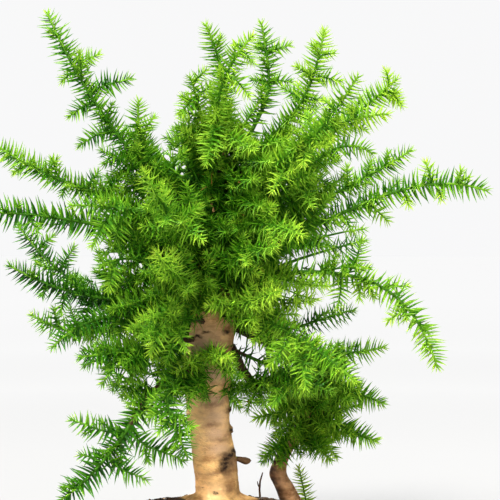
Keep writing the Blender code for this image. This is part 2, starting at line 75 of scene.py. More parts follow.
# Limbs: name, stem, height on it, tip, bow, hook, half width of the spray
LIMBS = [
    # left side, from the top down
    ("spray_left_leader", "trunk", 244, (-146, -45, 434), (-10, -30, -10), 0, 26),
    ("spray_left_spire", "trunk", 262, (-64, -62, 356), (-20, -10, -10), 0, 15),
    ("spray_left_high", "trunk", 236, (-191, -75, 319), (5, -10, -5), -5, 22),
    ("spray_left_front", "trunk", 228, (-120, -110, 262), (10, -15, 10), 0, 16),
    ("spray_left_long", "trunk", 214, (-205, -60, 258), (10, -20, 10), 0, 22),
    ("spray_left_far", "trunk", 178, (-198, 125, 252), (-5, 10, -35), 0, 26),
    ("spray_left_inner", "trunk", 206, (-95, -105, 210), (0, 0, 5), 5, 18),
    ("spray_left_low", "trunk", 184, (-177, -66, 213), (-5, -10, -15), 0, 24),
    ("spray_left_far_low", "trunk", 164, (-182, 105, 164), (0, 5, -15), -5, 18),
    ("spray_left_drop", "trunk", 168, (-138, -86, 140), (0, -10, 15), 5, 20),
    ("spray_front_low_left", "trunk", 160, (-60, -120, 152), (5, 0, 10), 0, 16),
    ("spray_left_skirt", "trunk", 146, (-116, -80, 134), (5, -10, 0), 0, 22),
    ("spray_left_pendant", "bough_left_low", None, (-132, -66, 10), (0, -5, -10), 0, 38),
    ("spray_left_drooping", "trunk", 128, (-20, -54, 41), (-25, -25, 15), 5, 16),
    # towards the front
    ("spray_front_high_left", "trunk", 222, (-55, -162, 290), (0, -5, -10), 0, 16),
    ("spray_front_mid_left", "trunk", 186, (-45, -150, 224), (0, 0, -5), 0, 16),
    ("spray_front_mid_right", "trunk", 196, (56, -122, 228), (-10, -5, 5), 0, 16),
    ("spray_front_high_right", "trunk", 238, (76, -136, 236), (-5, 0, 10), 0, 16),
    ("spray_front_low_right", "trunk", 176, (58, -106, 192), (-5, 0, -5), 0, 16),
    ("spray_trunk_cross", "trunk", 146, (18, -62, 130), (-15, -5, -5), 5, 10),
    # right side
    ("spray_right_long", "trunk", 226, (237, -66, 275), (-5, -10, 10), 10, 24),
    ("spray_right_arch", "trunk", 200, (193, -66, 121), (25, -10, 40), 5, 20),
    ("spray_right_low", "trunk", 174, (121, -106, 114), (0, -5, 10), 0, 20),
    ("spray_right_far", "trunk", 166, (134, 100, 167), (0, 5, -15), 5, 22),
    ("spray_right_mid", "trunk", 158, (157, 20, 137), (-5, 0, -15), 0, 20),
    ("spray_right_high", "trunk", 236, (140, -50, 307), (0, -5, 20), 10, 20),
    ("spray_right_back", "trunk", 244, (183, 42, 319), (0, 5, -10), 0, 24),
    # upper crown
    ("spray_top_left", "tip", None, (-9, -22, 427), (10, 0, 0), 0, 14),
    ("spray_top_front", "trunk", 272, (35, -86, 408), (-15, -15, 20), -5, 16),
    ("spray_top_nod", "trunk", 284, (-21, -50, 375), (-5, -10, 25), 0, 14),
    ("spray_top_back", "trunk", 286, (41, 18, 436), (20, 5, 0), -10, 20),
    ("spray_top_right", "trunk", 276, (98, -22, 424), (10, 0, -10), -10, 22),
    ("spray_upper_front_right", "trunk", 258, (121, -126, 369), (5, -5, -10), 0, 16),
    ("spray_upper_right", "trunk", 262, (160, -60, 374), (0, 0, -5), 0, 20),
    ("spray_upper_right_front", "trunk", 248, (150, -96, 339), (-20, -15, 10), 5, 16),
    # the second stem's crown
    ("low_spray_right", "second", 90, (160, 74, 78), (0, 0, 5), 0, 16),
    ("low_spray_right_down", "second", 74, (153, 66, 45), (0, 0, -5), 0, 14),
    ("low_spray_down", "second", 62, (108, 40, 29), (-5, 0, 0), 0, 12),
    ("low_spray_left_down", "second", 54, (43, 62, 30), (-5, 0, -5), 0, 16),
    ("low_spray_left", "second", 78, (34, 66, 66), (0, 0, 0), 0, 14),
    ("low_spray_front", "bough_right_back", None, (84, -34, 98), (0, 0, 10), 0, 18),
]
BACK_TIERS = [
    (156, -8, 150, 8, 2, 70, 116),
    (196, 15, 184, 10, 4, 38, 132),
    (250, 27, 182, -12, 4, 44, 128),
]
BACK_WIDTH = 34
STEMS = {"trunk": TRUNK, "second": SECOND}
BOUGHS = {
    "bough_left_low": ((-14, -8, 122), (-60, -45, 94), 4, 4.6, 3.2),
    "bough_right_back": ((10, 4, 146), (39, 21, 98), -5, 4.8, 3.6),
}
DEAD_STUB = ((10, 3, 35.5), (31, 1, 36.5), 2.6, 3.0)

# Pieces of needles, and the masses each stands for
GROUPS = {
    "needles_left_high": ["spray_left_leader", "spray_left_spire", "spray_left_high", "spray_left_front"],
    "needles_left_mid": ["spray_left_long", "spray_left_far", "spray_left_inner", "spray_left_low"],
    "needles_left_low": ["spray_left_far_low", "spray_left_drop", "spray_front_low_left",
                         "spray_left_skirt", "spray_left_pendant", "spray_left_drooping"],
    "needles_front": ["spray_front_high_left", "spray_front_mid_left", "spray_front_mid_right",
                      "spray_front_high_right", "spray_front_low_right", "spray_trunk_cross"],
    "needles_right": ["spray_right_long", "spray_right_arch", "spray_right_low", "spray_right_far",
                      "spray_right_mid", "spray_right_high", "spray_right_back"],
    "needles_top": ["spray_top_left", "spray_top_front", "spray_top_nod", "spray_top_back",
                    "spray_top_right"],
    "needles_upper_right": ["spray_upper_front_right", "spray_upper_right", "spray_upper_right_front"],
    "needles_second_stem": ["low_spray_right", "low_spray_right_down", "low_spray_down",
                            "low_spray_left_down", "low_spray_left", "low_spray_front"],
    "needles_back_low": ["spray_back_1", "spray_back_2", "spray_back_3", "spray_back_4",
                         "spray_back_5", "spray_back_6"],
    "needles_back_high": ["spray_back_7", "spray_back_8", "spray_back_9", "spray_back_10"],
}


# --------------------------------------------------------- shared geometry
def tree(p):
    """Points of the tree frame in millimetres, as metres in the world."""
    return (np.asarray(p, float) + TRUNK_AT) / 1000.0


def unit(v):
    v = np.asarray(v, float)
    return v / max(1e-9, np.linalg.norm(v))


def smooth(x):
    x = np.clip(x, 0, 1)
    return x * x * (3 - 2 * x)


def along(table, z):
    hs = [row[0] for row in table]
    return [float(np.interp(z, hs, [row[k] for row in table])) for k in (1, 2, 3)]


def limb_curve(start, tip, bow, hook, t):
    a, b = np.array(start, float), np.array(tip, float)
    t = np.asarray(t, float)[:, None]
    p = a + (b - a) * t + np.array(bow, float) * 4 * t * (1 - t)
    p[:, 2] += (hook * t * (1 - t) * (2 * t - 1) / 0.0962)[:, 0]
    return p


def bough_points(name, ts):
    a, b, bow = np.array(BOUGHS[name][0], float), np.array(BOUGHS[name][1], float), BOUGHS[name][2]
    ts = np.asarray(ts, float)[:, None]
    p = a + (b - a) * ts
    p[:, 2] += (bow * 4 * ts * (1 - ts))[:, 0]
    return p


def stem_start(table, height, tip):
    r, x, y = along(table, height)
    bearing = math.atan2(tip[1] - y, tip[0] - x)
    return (x + 0.75 * r * math.cos(bearing), y + 0.75 * r * math.sin(bearing), height)


def back_limbs():
    made, count = [], 0
    for height, rise, reach, bow, number, first, last in BACK_TIERS:
        for i in range(number):
            count += 1
            bearing = math.radians(first + (last - first) * i / (number - 1))
            up = math.radians(rise + 7 * math.sin(2.1 * count))
            far = reach * (1 + 0.10 * math.cos(1.7 * count))
            tip = (far * math.cos(up) * math.cos(bearing), far * math.cos(up) * math.sin(bearing),
                   height + far * math.sin(up))
            side = 10 * math.sin(2.9 * count)
            made.append((f"spray_back_{count}", "trunk", height + 9 * math.sin(1.3 * count), tip,
                         (-side * math.sin(bearing), side * math.cos(bearing), bow), 0, BACK_WIDTH))
    return made


def resampled(points, step):
    """The same line with a point every step mm, and how far along each is."""
    points = np.asarray(points, float)
    run = np.concatenate(([0], np.cumsum(np.linalg.norm(np.diff(points, axis=0), axis=1))))
    n = max(3, int(round(run[-1] / step)) + 1)
    at = np.linspace(0, run[-1], n)
    return np.stack([np.interp(at, run, points[:, k]) for k in range(3)], axis=1), at


def directions(points):
    d = np.gradient(points, axis=0)
    return d / np.maximum(1e-9, np.linalg.norm(d, axis=1))[:, None]


# --------------------------------------------------------------- materials
def new_material(name):
    m = bpy.data.materials.new(name)
    m.use_nodes = True
    nodes, links = m.node_tree.nodes, m.node_tree.links
    return m, nodes, links, nodes["Principled BSDF"]


def plain_material(name, colour, roughness, specular=0.5):
    m, nodes, links, shader = new_material(name)
    shader.inputs["Base Color"].default_value = (*colour, 1)
    shader.inputs["Roughness"].default_value = roughness
    shader.inputs["Specular IOR Level"].default_value = specular
    return m


def ramp_node(nodes, stops, interpolation="LINEAR"):
    ramp = nodes.new("ShaderNodeValToRGB")
    ramp.color_ramp.interpolation = interpolation
    while len(ramp.color_ramp.elements) < len(stops):
        ramp.color_ramp.elements.new(0.5)
    for element, (at, colour) in zip(ramp.color_ramp.elements, stops):
        element.position = at
        element.color = (*colour, 1)
    return ramp


def noise_node(nodes, links, coords, scale, detail=4, rough=0.55, stretch=(1, 1, 1)):
    mapping = nodes.new("ShaderNodeMapping")
    mapping.inputs["Scale"].default_value = stretch
    links.new(coords, mapping.inputs["Vector"])
    tex = nodes.new("ShaderNodeTexNoise")
    tex.inputs["Scale"].default_value = scale
    tex.inputs["Detail"].default_value = detail
    tex.inputs["Roughness"].default_value = rough
    links.new(mapping.outputs["Vector"], tex.inputs["Vector"])
    return tex


def mix_colour(nodes, links, factor, a, b, blend="MIX"):
    mix = nodes.new("ShaderNodeMix")
    mix.data_type, mix.blend_type = "RGBA", blend
    if isinstance(factor, float):
        mix.inputs[0].default_value = factor
    else:
        links.new(factor, mix.inputs[0])
    for socket, value in ((mix.inputs[6], a), (mix.inputs[7], b)):
        if isinstance(value, tuple):
            socket.default_value = (*value, 1)
        else:
            links.new(value, socket)
    return mix.outputs[2]


def scar_and_painted_light_mask(nodes, links, coords, scars, most_at=1.0):
    """A mask of ragged spots on the object, for scars and for painted highlight and shade: each centre and half size in
    metres.
    """
    ragged = nodes.new("ShaderNodeTexNoise")
    ragged.inputs["Scale"].default_value = 260
    ragged.inputs["Detail"].default_value = 4
    links.new(coords, ragged.inputs["Vector"])
    nudge = nodes.new("ShaderNodeVectorMath")
    nudge.operation = "MULTIPLY_ADD"
    links.new(ragged.outputs["Color"], nudge.inputs[0])
    nudge.inputs[1].default_value = (0.010, 0.010, 0.006)
    links.new(coords, nudge.inputs[2])
    mask = None
    for centre, half in scars:
        off = nodes.new("ShaderNodeVectorMath")
        off.operation = "SUBTRACT"
        links.new(nudge.outputs[0], off.inputs[0])
        off.inputs[1].default_value = tuple(c + n for c, n in zip(centre, (0.005, 0.005, 0.003)))
        size = nodes.new("ShaderNodeVectorMath")
        size.operation = "DIVIDE"
        links.new(off.outputs[0], size.inputs[0])
        size.inputs[1].default_value = tuple(half)
        far = nodes.new("ShaderNodeVectorMath")
        far.operation = "LENGTH"
        links.new(size.outputs[0], far.inputs[0])
        spot = nodes.new("ShaderNodeMapRange")
        for socket, value in (("From Min", 0.25), ("From Max", 1.35), ("To Min", most_at), ("To Max", 0.0)):
            spot.inputs[socket].default_value = value
        links.new(far.outputs["Value"], spot.inputs["Value"])
        if mask is None:
            mask = spot.outputs["Result"]
        else:
            most = nodes.new("ShaderNodeMath")
            most.operation = "MAXIMUM"
            links.new(mask, most.inputs[0])
            links.new(spot.outputs["Result"], most.inputs[1])
            mask = most.outputs[0]
    return mask


def bark_material(name, light, middle, dark, scale=1.0, roughness=0.8, scars=()):
    """Bark that peels in level flakes: broad patches, thin bands, a few flecks."""
    m, nodes, links, shader = new_material(name)
    coords = nodes.new("ShaderNodeTexCoord").outputs["Object"]
    patches = noise_node(nodes, links, coords, 26 * scale, 3, 0.5, (1.0, 1.0, 1.35))
    bands = noise_node(nodes, links, coords, 26 * scale, 4, 0.60, (1.0, 1.0, 4.5))
    blots = noise_node(nodes, links, coords, 75 * scale, 5, 0.7, (1.0, 1.0, 1.8))
    flecks = noise_node(nodes, links, coords, 150 * scale, 4, 0.7, (1.0, 1.0, 4.0))
    base = ramp_node(nodes, [(0.38, middle), (0.58, light)])
    links.new(patches.outputs["Fac"], base.inputs["Fac"])
    streak = ramp_node(nodes, [(0.34, (0.60, 0.50, 0.40)), (0.50, (0.96, 0.94, 0.92)), (0.64, (1.12, 1.08, 1.02))])
    links.new(bands.outputs["Fac"], streak.inputs["Fac"])
    toned = mix_colour(nodes, links, 0.85, base.outputs["Color"], streak.outputs["Color"], "MULTIPLY")
    blot = ramp_node(nodes, [(0.38, (0.52, 0.42, 0.35)), (0.53, (1, 1, 1))])
    links.new(blots.outputs["Fac"], blot.inputs["Fac"])
    blotted = mix_colour(nodes, links, 0.8, toned, blot.outputs["Color"], "MULTIPLY")
    fleck = ramp_node(nodes, [(0.30, (1, 1, 1)), (0.37, (0, 0, 0))])
    links.new(flecks.outputs["Fac"], fleck.inputs["Fac"])
    colour = mix_colour(nodes, links, fleck.outputs["Color"], blotted, dark)
    # the spots laid on: scar colours and greyer patches, and also painted highlight and painted shade
    for tone, spots, strength in scars:
        colour = mix_colour(nodes, links, scar_and_painted_light_mask(nodes, links, coords, spots, strength), colour, tone)
    links.new(colour, shader.inputs["Base Color"])
    shader.inputs["Roughness"].default_value = roughness
    shader.inputs["Specular IOR Level"].default_value = 0.2
    fine = noise_node(nodes, links, coords, 420 * scale, 4, 0.65, (1.0, 1.0, 2.6))
    height = nodes.new("ShaderNodeMath")
    height.operation = "ADD"
    links.new(blots.outputs["Fac"], height.inputs[0])
    links.new(fine.outputs["Fac"], height.inputs[1])
    bump = nodes.new("ShaderNodeBump")
    bump.inputs["Strength"].default_value = 0.6
    bump.inputs["Distance"].default_value = 0.0012
    links.new(height.outputs[0], bump.inputs["Height"])
    links.new(bump.outputs["Normal"], shader.inputs["Normal"])
    return m


def TRUNK_SCARS_AND_PAINTED_LIGHT():
    """Where the trunk's dark scars and greyer patches are, with a painted highlight on its left front and at its foot,
    and painted shade below the right bough: colour, then spots.
    """
    def on(height, bearing, deep, tall, wide):
        r, x, y = along(TRUNK, height)
        a = math.radians(bearing)
        at = tree((x + r * math.cos(a), y + r * math.sin(a), height))
        across = abs(math.sin(a)) * wide + abs(math.cos(a)) * deep
        inward = abs(math.cos(a)) * wide + abs(math.sin(a)) * deep
        return at, (across / 1000, inward / 1000, tall / 1000)

    # among the dark spots, the tall streak at 128 mm on the right is painted shade below the right bough; the rest are
    # scars
    dark = [on(31, 301, 8, 5.2, 4.2), on(35, 303, 8, 5.0, 4.4), on(39, 310, 8, 3.8, 6.0), on(42, 324, 9, 3.6, 8.0),
            on(45, 342, 9, 4.0, 7.0), on(82, 352, 9, 4.6, 7.0), on(64, 352, 9, 4.2, 7.0), on(9, 268, 4, 2.0, 2.2),
            on(148, 236, 4, 1.6, 4.2), on(152, 258, 4, 1.3, 3.6), on(152, 312, 4, 2.2, 4.0), on(128, 352, 5, 12.0, 4.0)]
    brown = [on(35, 330, 9, 7.0, 9.0), on(24, 306, 8, 9.0, 5.0), on(12, 300, 8, 9.0, 6.0), on(26, 270, 6, 2.0, 8.0),
             on(56, 300, 6, 3.0, 9.0), on(70, 276, 6, 2.6, 9.0), on(88, 284, 6, 3.0, 10.0), on(96, 262, 6, 5.0, 5.0)]
    grey = [on(76, 290, 12, 14, 11), on(62, 286, 12, 12, 10), on(90, 290, 12, 9, 10), on(48, 292, 10, 8, 9),
            on(140, 250, 16, 18, 18), on(60, 90, 12, 20, 14), on(100, 150, 12, 18, 14), on(114, 284, 14, 10, 12)]
    # painted highlight: pale peach spots on the trunk's lit left front and at its foot
    painted_highlight = [on(88, 218, 10, 16, 6), on(70, 218, 10, 14, 6), on(54, 216, 10, 12, 5), on(10, 262, 10, 14, 9)]
    return (((0.44, 0.285, 0.175), grey, 0.8), ((0.165, 0.082, 0.038), brown, 0.72),
            ((0.98, 0.64, 0.31), painted_highlight, 0.6), ((0.018, 0.009, 0.005), dark, 1.0))


def SECOND_SHADE():
    """Painted shade on the second stem's left side."""
    spots = []
    for height in (-14, -4, 6, 16, 26, 36):
        r, x, y = along(SECOND, height)
        spots.append((tree((x - r, y - 0.4 * r, height)), (0.0075, 0.010, 0.0085)))
    return spots


# Needle greens, from painted shade in the heart of the crown to the growing tips; the steps between also serve as
# painted light and shade
GREENS = [
    ("needle_shade", (0.0050, 0.0360, 0.0010)),
    ("needle_deep", (0.0140, 0.0860, 0.0018)),
    ("needle_mid", (0.0450, 0.1800, 0.0040)),
    ("needle_bright", (0.1150, 0.2950, 0.0110)),
    ("needle_fresh", (0.2100, 0.4250, 0.0230)),
    ("needle_lime", (0.3200, 0.5400, 0.0300)),
    ("needle_tip", (0.4400, 0.6100, 0.0560)),
    ("needle_rusty", (0.2600, 0.1000, 0.0260)),
]


def make_materials():
    mats = {}
    for k, (name, colour) in enumerate(GREENS):
        mats[name] = plain_material(name, colour, 0.5 if k < 7 else 0.7, 0.09)
    mats["twig_green"] = plain_material("twig_green", (0.034, 0.125, 0.004), 0.6, 0.1)
    mats["twig_fresh"] = plain_material("twig_fresh", (0.130, 0.300, 0.014), 0.6, 0.1)
    # the trunk's bark takes its scars, a painted highlight and painted shade; the second stem's takes painted shade on
    # its left side
    mats["bark"] = bark_material("bark", (0.84, 0.52, 0.205), (0.55, 0.320, 0.135), (0.15, 0.075, 0.030),
                                 scars=TRUNK_SCARS_AND_PAINTED_LIGHT())
    mats["bark_limb"] = bark_material("bark_limb", (0.085, 0.050, 0.024), (0.042, 0.025, 0.012), (0.018, 0.011, 0.006), 1.6)
    mats["bark_second"] = bark_material("bark_second", (0.62, 0.35, 0.17), (0.36, 0.18, 0.08), (0.10, 0.045, 0.022), 1.5,
                                        scars=(((0.035, 0.017, 0.009), SECOND_SHADE(), 1.0),))
    mats["bark_stub"] = bark_material("bark_stub", (0.14, 0.075, 0.032), (0.055, 0.030, 0.014), (0.018, 0.010, 0.006), 1.8)
    mats["bark_scar"] = bark_material("bark_scar", (0.17, 0.085, 0.04), (0.085, 0.042, 0.02), (0.03, 0.015, 0.008), 1.8)
    return mats


# ------------------------------------------------------------------ meshes
def mesh_piece(name, verts, faces, mats, face_slot=None, smooth_faces=True):
    """A mesh object from arrays: verts in metres, faces all of one size."""
    mesh = bpy.data.meshes.new(name)
    verts = np.asarray(verts, np.float32)
    blocks = [np.asarray(f, np.int32) for f in (faces if isinstance(faces, list) else [faces])]
    totals = np.concatenate([np.full(len(b), b.shape[1], np.int32) for b in blocks])
    loops = np.concatenate([b.ravel() for b in blocks])
    starts = np.concatenate(([0], np.cumsum(totals)[:-1])).astype(np.int32)
    mesh.vertices.add(len(verts))
    mesh.vertices.foreach_set("co", verts.ravel())
    mesh.loops.add(len(loops))
    mesh.loops.foreach_set("vertex_index", loops)
    mesh.polygons.add(len(totals))
    mesh.polygons.foreach_set("loop_start", starts)
    mesh.polygons.foreach_set("loop_total", totals)
    for m in mats:
        mesh.materials.append(m)
    if face_slot is not None:
        mesh.polygons.foreach_set("material_index", np.asarray(face_slot, np.int32))
    mesh.polygons.foreach_set("use_smooth", np.full(len(totals), smooth_faces))
    mesh.update(calc_edges=True)
    mesh.validate()
    obj = bpy.data.objects.new(name, mesh)
    scene.collection.objects.link(obj)
    return obj


def grid_faces(rows, cols, closed=True):
    """Quads of a grid of rows x cols vertices, wrapped round its columns."""
    r = np.arange(rows - 1)[:, None]
    c = np.arange(cols if closed else cols - 1)[None]
    d = (c + 1) % cols
    return np.stack([r * cols + c, r * cols + d, (r + 1) * cols + d, (r + 1) * cols + c], axis=2).reshape(-1, 4)


class Tubes:
    """Many tapering tubes gathered into one mesh."""

    def __init__(self):
        self.verts, self.quads, self.tris, self.quad_slot, self.tri_slot, self.count = [], [], [], [], [], 0

    def add(self, points, radii, sides, slots):
        points = np.asarray(points, float)
        n = len(points)
        ahead = directions(points)
        side = np.cross(ahead[0], (0.13, 0.31, 0.94))
        side = unit(side)
        ring = np.zeros((n, sides, 3))
        a = np.arange(sides) * math.tau / sides
        for k in range(n):
            side = unit(side - ahead[k] * np.dot(side, ahead[k]))
            other = np.cross(ahead[k], side)
            ring[k] = points[k] + radii[k] * (np.cos(a)[:, None] * side + np.sin(a)[:, None] * other)
        self.verts.append(ring.reshape(-1, 3))
        quads = grid_faces(n, sides) + self.count
        self.quads.append(quads)
        self.quad_slot.append(np.repeat(np.asarray(slots)[:n - 1], sides))
        ends = np.array([points[0] - ahead[0] * radii[0] * 0.3, points[-1] + ahead[-1] * radii[-1] * 0.8])
        self.verts.append(ends)
        first, last = self.count + n * sides, self.count + n * sides + 1
        i = np.arange(sides)
        j = (i + 1) % sides
        self.tris.append(np.stack([self.count + j, self.count + i, np.full(sides, first)], axis=1))
        base = self.count + (n - 1) * sides
        self.tris.append(np.stack([base + i, base + j, np.full(sides, last)], axis=1))
        self.tri_slot.append(np.full(sides, slots[0]))
        self.tri_slot.append(np.full(sides, slots[-1]))
        self.count += n * sides + 2

    def piece(self, name, mats):
        verts = tree(np.concatenate(self.verts))
        slots = np.concatenate(self.quad_slot + self.tri_slot)
        return mesh_piece(name, verts, [np.concatenate(self.quads), np.concatenate(self.tris)], mats, slots)


# ------------------------------------------------------------ the branching
class Shoot:
    """One shoot: its line, the way its side shoots lie, its age, and the painted light and shade of its greens."""

    def __init__(self, line, side, order, group, thick=1.0, round_=False, bare=2.0, lit=0.0,
                 young=12.0, flat=0.72, pitch=PITCH, size=1.0):
        self.line, self.at = resampled(line, 2.5)
        self.side, self.order, self.group = unit(side), order, group
        self.thick, self.round, self.bare, self.lit, self.young = thick, round_, bare, lit, young
        self.flat = 1.0 if round_ else flat
        self.open, self.named, self.pitch, self.size = False, False, pitch, size
        self.length = float(self.at[-1])


def side_line(start, heading, length, lift, curl, rng):
    """The line of a side shoot: it leaves at heading and bends towards curl."""
    s = np.linspace(0, 1, 9)[:, None]
    wander = rng.normal(0, 0.035, 3)
    return (np.asarray(start) + np.asarray(heading) * length * s
            + (np.asarray(curl) * 0.16 + wander + np.array((0, 0, lift))) * length * s * s)


def in_view(across, down, back):
    """A point told by where it stands in the front view, in 500ths of it, and how far back."""
    k = 0.9 * (VIEW_BACK + back) / VIEW_BACK
    return np.array((VIEW_MID[0] + (across - 250) * k, back, VIEW_MID[1] + (250 - down) * k))


def seen_at(p):
    """Where points stand in the front view, in 500ths of it."""
    k = 0.9 * (VIEW_BACK + p[:, 1]) / VIEW_BACK
    return np.stack([250 + (p[:, 0] - VIEW_MID[0]) / k, 250 - (p[:, 2] - VIEW_MID[1]) / k], axis=1)


def grow():
    """All shoots: the limbs, their side shoots, and the side shoots of those."""
    shoots, mains = [], {}
    group_of = {mass: group for group, masses in GROUPS.items() for mass in masses}
    for number, (name, on, height, tip, bow, hook, width) in enumerate(LIMBS + back_limbs()):
        rng = np.random.default_rng(4100 + number)
        if on in STEMS:
            start = stem_start(STEMS[on], height, tip)
        elif on == "tip":
            start = (TRUNK[-1][2], TRUNK[-1][3], TRUNK[-1][0] - 2)
        else:
            start = tuple(bough_points(on, [1.0])[0])
        short = 1 - 2.6 / np.linalg.norm(np.subtract(tip, start))
        line = limb_curve(start, tip, bow, hook, np.linspace(0, short, 40))
        run = unit(line[-1] - line[0])
        back = name.startswith("spray_back")
        facing = abs(run[1]) > 0.72 and not back
        if back:
            side = np.cross(run, (0, 0, 1))
        elif facing:
            side = np.array((1.0, 0, 0.2))
        else:
            side = np.cross(run, (0, 1, 0))
        main = Shoot(line, side, 0, group_of[name], thick=1.5 if width > 14 else 1.1, round_=facing,
                     lit=LIT.get(name, 0.0), young=22.0 if LIT.get(name, 0) > 1 else 12.0,
                     flat=0.45 if name in COMBED else 0.72,
                     pitch=1.0 if name in COMBED else 0.60 if name.startswith("low_spray") else PITCH,
                     size=(1.06 if name.startswith("spray_right") else 1.14) if name in COMBED else 1.10 if name.startswith("low_spray") else 1.0)
        main.open, main.named = name in OPEN, not back
        shoots.append(main)
        mains[name] = main
        add_side_shoots(shoots, main, width, rng)
        add_inner_shoots(shoots, main, width, rng)
        if back:
            add_companions(shoots, main, width, rng)
    add_heart(shoots, np.random.default_rng(515))
    add_close(shoots, np.random.default_rng(616))
    for name, table, group in (("trunk", TRUNK, "needles_front"), ("second", SECOND, "needles_second_stem")):
        rows = np.array(table, float)
        mains[name] = Shoot(rows[:, [2, 3, 0]], (1, 0, 0), 0, group)
    for name, group in (("bough_left_low", "needles_left_low"), ("bough_right_back", "needles_second_stem")):
        mains[name] = Shoot(bough_points(name, np.linspace(0, 1, 20)), (1, 0, 0), 0, group)
    add_placed(shoots, mains)
    add_sprig(shoots)
    return cleared(shoots)


def cleared(shoots):
    """Keeps open the gaps in the crown, and the places where the trunk shows."""
    kept = []
    for shoot in shoots:
        seen = seen_at(shoot.line)
        near = shoot.line[:, 1] < -4
        keep, whole = True, len(shoot.line)
        for (x0, y0, x1, y1), front_only in [(g, False) for g in GAPS] + [(g, True) for g in BARE_TRUNK]:
            d = np.hypot((seen[:, 0] - (x0 + x1) / 2) / (x1 - x0), (seen[:, 1] - (y0 + y1) / 2) / (y1 - y0)) * 2
            inside = (d < 1.12) & (near | (not front_only))
            if not inside.any():
                continue
            if (shoot.order > 0 or not shoot.named) and inside.mean() > (0.25 if shoot.length > 120 else 0.20):
                keep = False
            elif inside[-1] and (shoot.order > 0 or not shoot.named):
                whole = min(whole, int(np.nonzero(~inside)[0][-1]) + 1)
            elif shoot.order == 0 and front_only and inside[:len(inside) // 2].any():
                shoot.bare = max(shoot.bare, float(shoot.at[np.nonzero(inside[:len(inside) // 2])[0][-1]]))
        if keep and whole > 4:
            shoot.line, shoot.at = shoot.line[:whole], shoot.at[:whole]
            shoot.length = float(shoot.at[-1])
            kept.append(shoot)
    return kept


def add_sprig(shoots):
    """A pale sprout that stands in the soil behind the second stem."""
    line = np.array([(86, 88, -27), (84.5, 88, -12), (81, 88, 4), (78, 87, 18)], float)
    shoots.append(Shoot(line, (1, 0, 0), 1, "needles_second_stem", thick=0.5, lit=3.4, young=60.0,
                        flat=0.8, bare=3.0, size=0.86, pitch=PITCH * 0.8))


def add_side_shoots(shoots, main, width, rng):
    """Side shoots from the tip inwards, left and right in turn."""
    most = 24.0 if main.open else min(46.0, 1.9 * width)
    ahead = directions(main.line)
    from_tip, flip = 24.0 + rng.uniform(0, 8), rng.integers(2) * 2 - 1
    k = 0
    while from_tip < main.length - 14:
        at = main.length - from_tip
        i = int(np.searchsorted(main.at, at))
        t = ahead[i]
        side = unit(main.side - t * np.dot(main.side, t))
        up = np.cross(side, t)
        if main.round:
            roll = k * math.radians(137.5)
        else:
            roll = (0 if flip > 0 else math.pi) + rng.normal(0, 0.5) + (math.pi / 2 if main.open else 0)
        out = side * math.cos(roll) + up * math.sin(roll)
        lean = math.radians(rng.uniform(46, 60))
        heading = unit(t * math.cos(lean) + out * math.sin(lean))
        length = min(most, 0.27 * from_tip + 2) * rng.uniform(0.7, 1.2)
        if length > 7:
            line = side_line(main.line[i], heading, length, rng.uniform(-0.05, 0.08), t, rng)
            child = Shoot(line, side if main.round else np.cross(heading, np.cross(t, out)), 1, main.group,
                          thick=0.8, round_=main.round, lit=main.lit * 0.6, flat=0.7,
                          pitch=main.pitch, size=min(1.05, main.size))
            shoots.append(child)
            if length > 30:
                add_twiglets(shoots, child, rng)
        flip = -flip
        k += 1
        from_tip += rng.uniform(13, 19) * (1.35 if main.open else 1.0)


def add_inner_shoots(shoots, main, width, rng):
    """Longer shoots off the inner half of a limb, which close up the crown."""
    ahead = directions(main.line)
    number = int(round(main.length / (80.0 if main.open else 38.0)))
    for k in range(number):
        i = int(len(main.line) * (0.14 + (0.22 if main.open else 0.42) * (k + rng.random()) / number))
        t = ahead[i]
        roll = k * math.radians(137.5) + rng.uniform(0, 1.0)
        side = unit(main.side - t * np.dot(main.side, t))
        out = side * math.cos(roll) + np.cross(side, t) * math.sin(roll)
        lean = math.radians(rng.uniform(24, 48))
        heading = unit(t * math.cos(lean) + out * math.sin(lean))
        length = min(0.42 * (main.length - main.at[i]), 2.1 * width + 12) * rng.uniform(0.75, 1.15)
        length *= 0.8 if main.open else 1.0
        if length < 18:
            continue
        line = side_line(main.line[i], heading, length, 0.05, t, rng)
        child = Shoot(line, side, 1, main.group, thick=0.9, round_=False, lit=-0.3, flat=0.8)
        shoots.append(child)
        add_twiglets(shoots, child, rng)


def add_heart(shoots, rng):
    """Short shoots straight off the trunk, all round, which darken its heart with the shade they cast and with painted
    shade in their greens.
    """
    for k in range(64):
        f = (k + rng.random()) / 64
        height = 138 + 170 * f
        bearing = k * math.radians(137.5) + rng.normal(0, 0.2)
        rise = math.radians(-12 + 66 * f + rng.normal(0, 8))
        reach = rng.uniform(58, 92) * (1 - 0.25 * f)
        r, x, y = along(TRUNK, min(height, 314))
        start = (x + 0.5 * r * math.cos(bearing), y + 0.5 * r * math.sin(bearing), height)
        heading = np.array((math.cos(rise) * math.cos(bearing), math.cos(rise) * math.sin(bearing), math.sin(rise)))
        out = np.array((math.cos(bearing), math.sin(bearing), 0.4))
        line = side_line(start, heading, reach, -0.06, out, rng)
        group = heart_group(bearing, height)
        main = Shoot(line, np.cross(heading, (0, 0, 1)), 0, group, thick=0.9, round_=True, lit=-0.5, bare=6)
        shoots.append(main)
        ahead = directions(main.line)
        for j in range(3):
            i = int(len(main.line) * (0.35 + 0.16 * j + rng.uniform(0, 0.08)))
            t = ahead[i]
            side = unit(np.cross(t, (0.3, 0.5, 0.8)))
            roll = (j + k) * math.radians(137.5)
            sweep = side * math.cos(roll) + np.cross(side, t) * math.sin(roll)
            length = (main.length - main.at[i]) * rng.uniform(0.5, 0.75)
            shoots.append(Shoot(side_line(main.line[i], unit(t * 0.66 + sweep * 0.75), length, 0.05, t, rng),
                                side, 1, group, thick=0.7, round_=True, lit=-0.3))


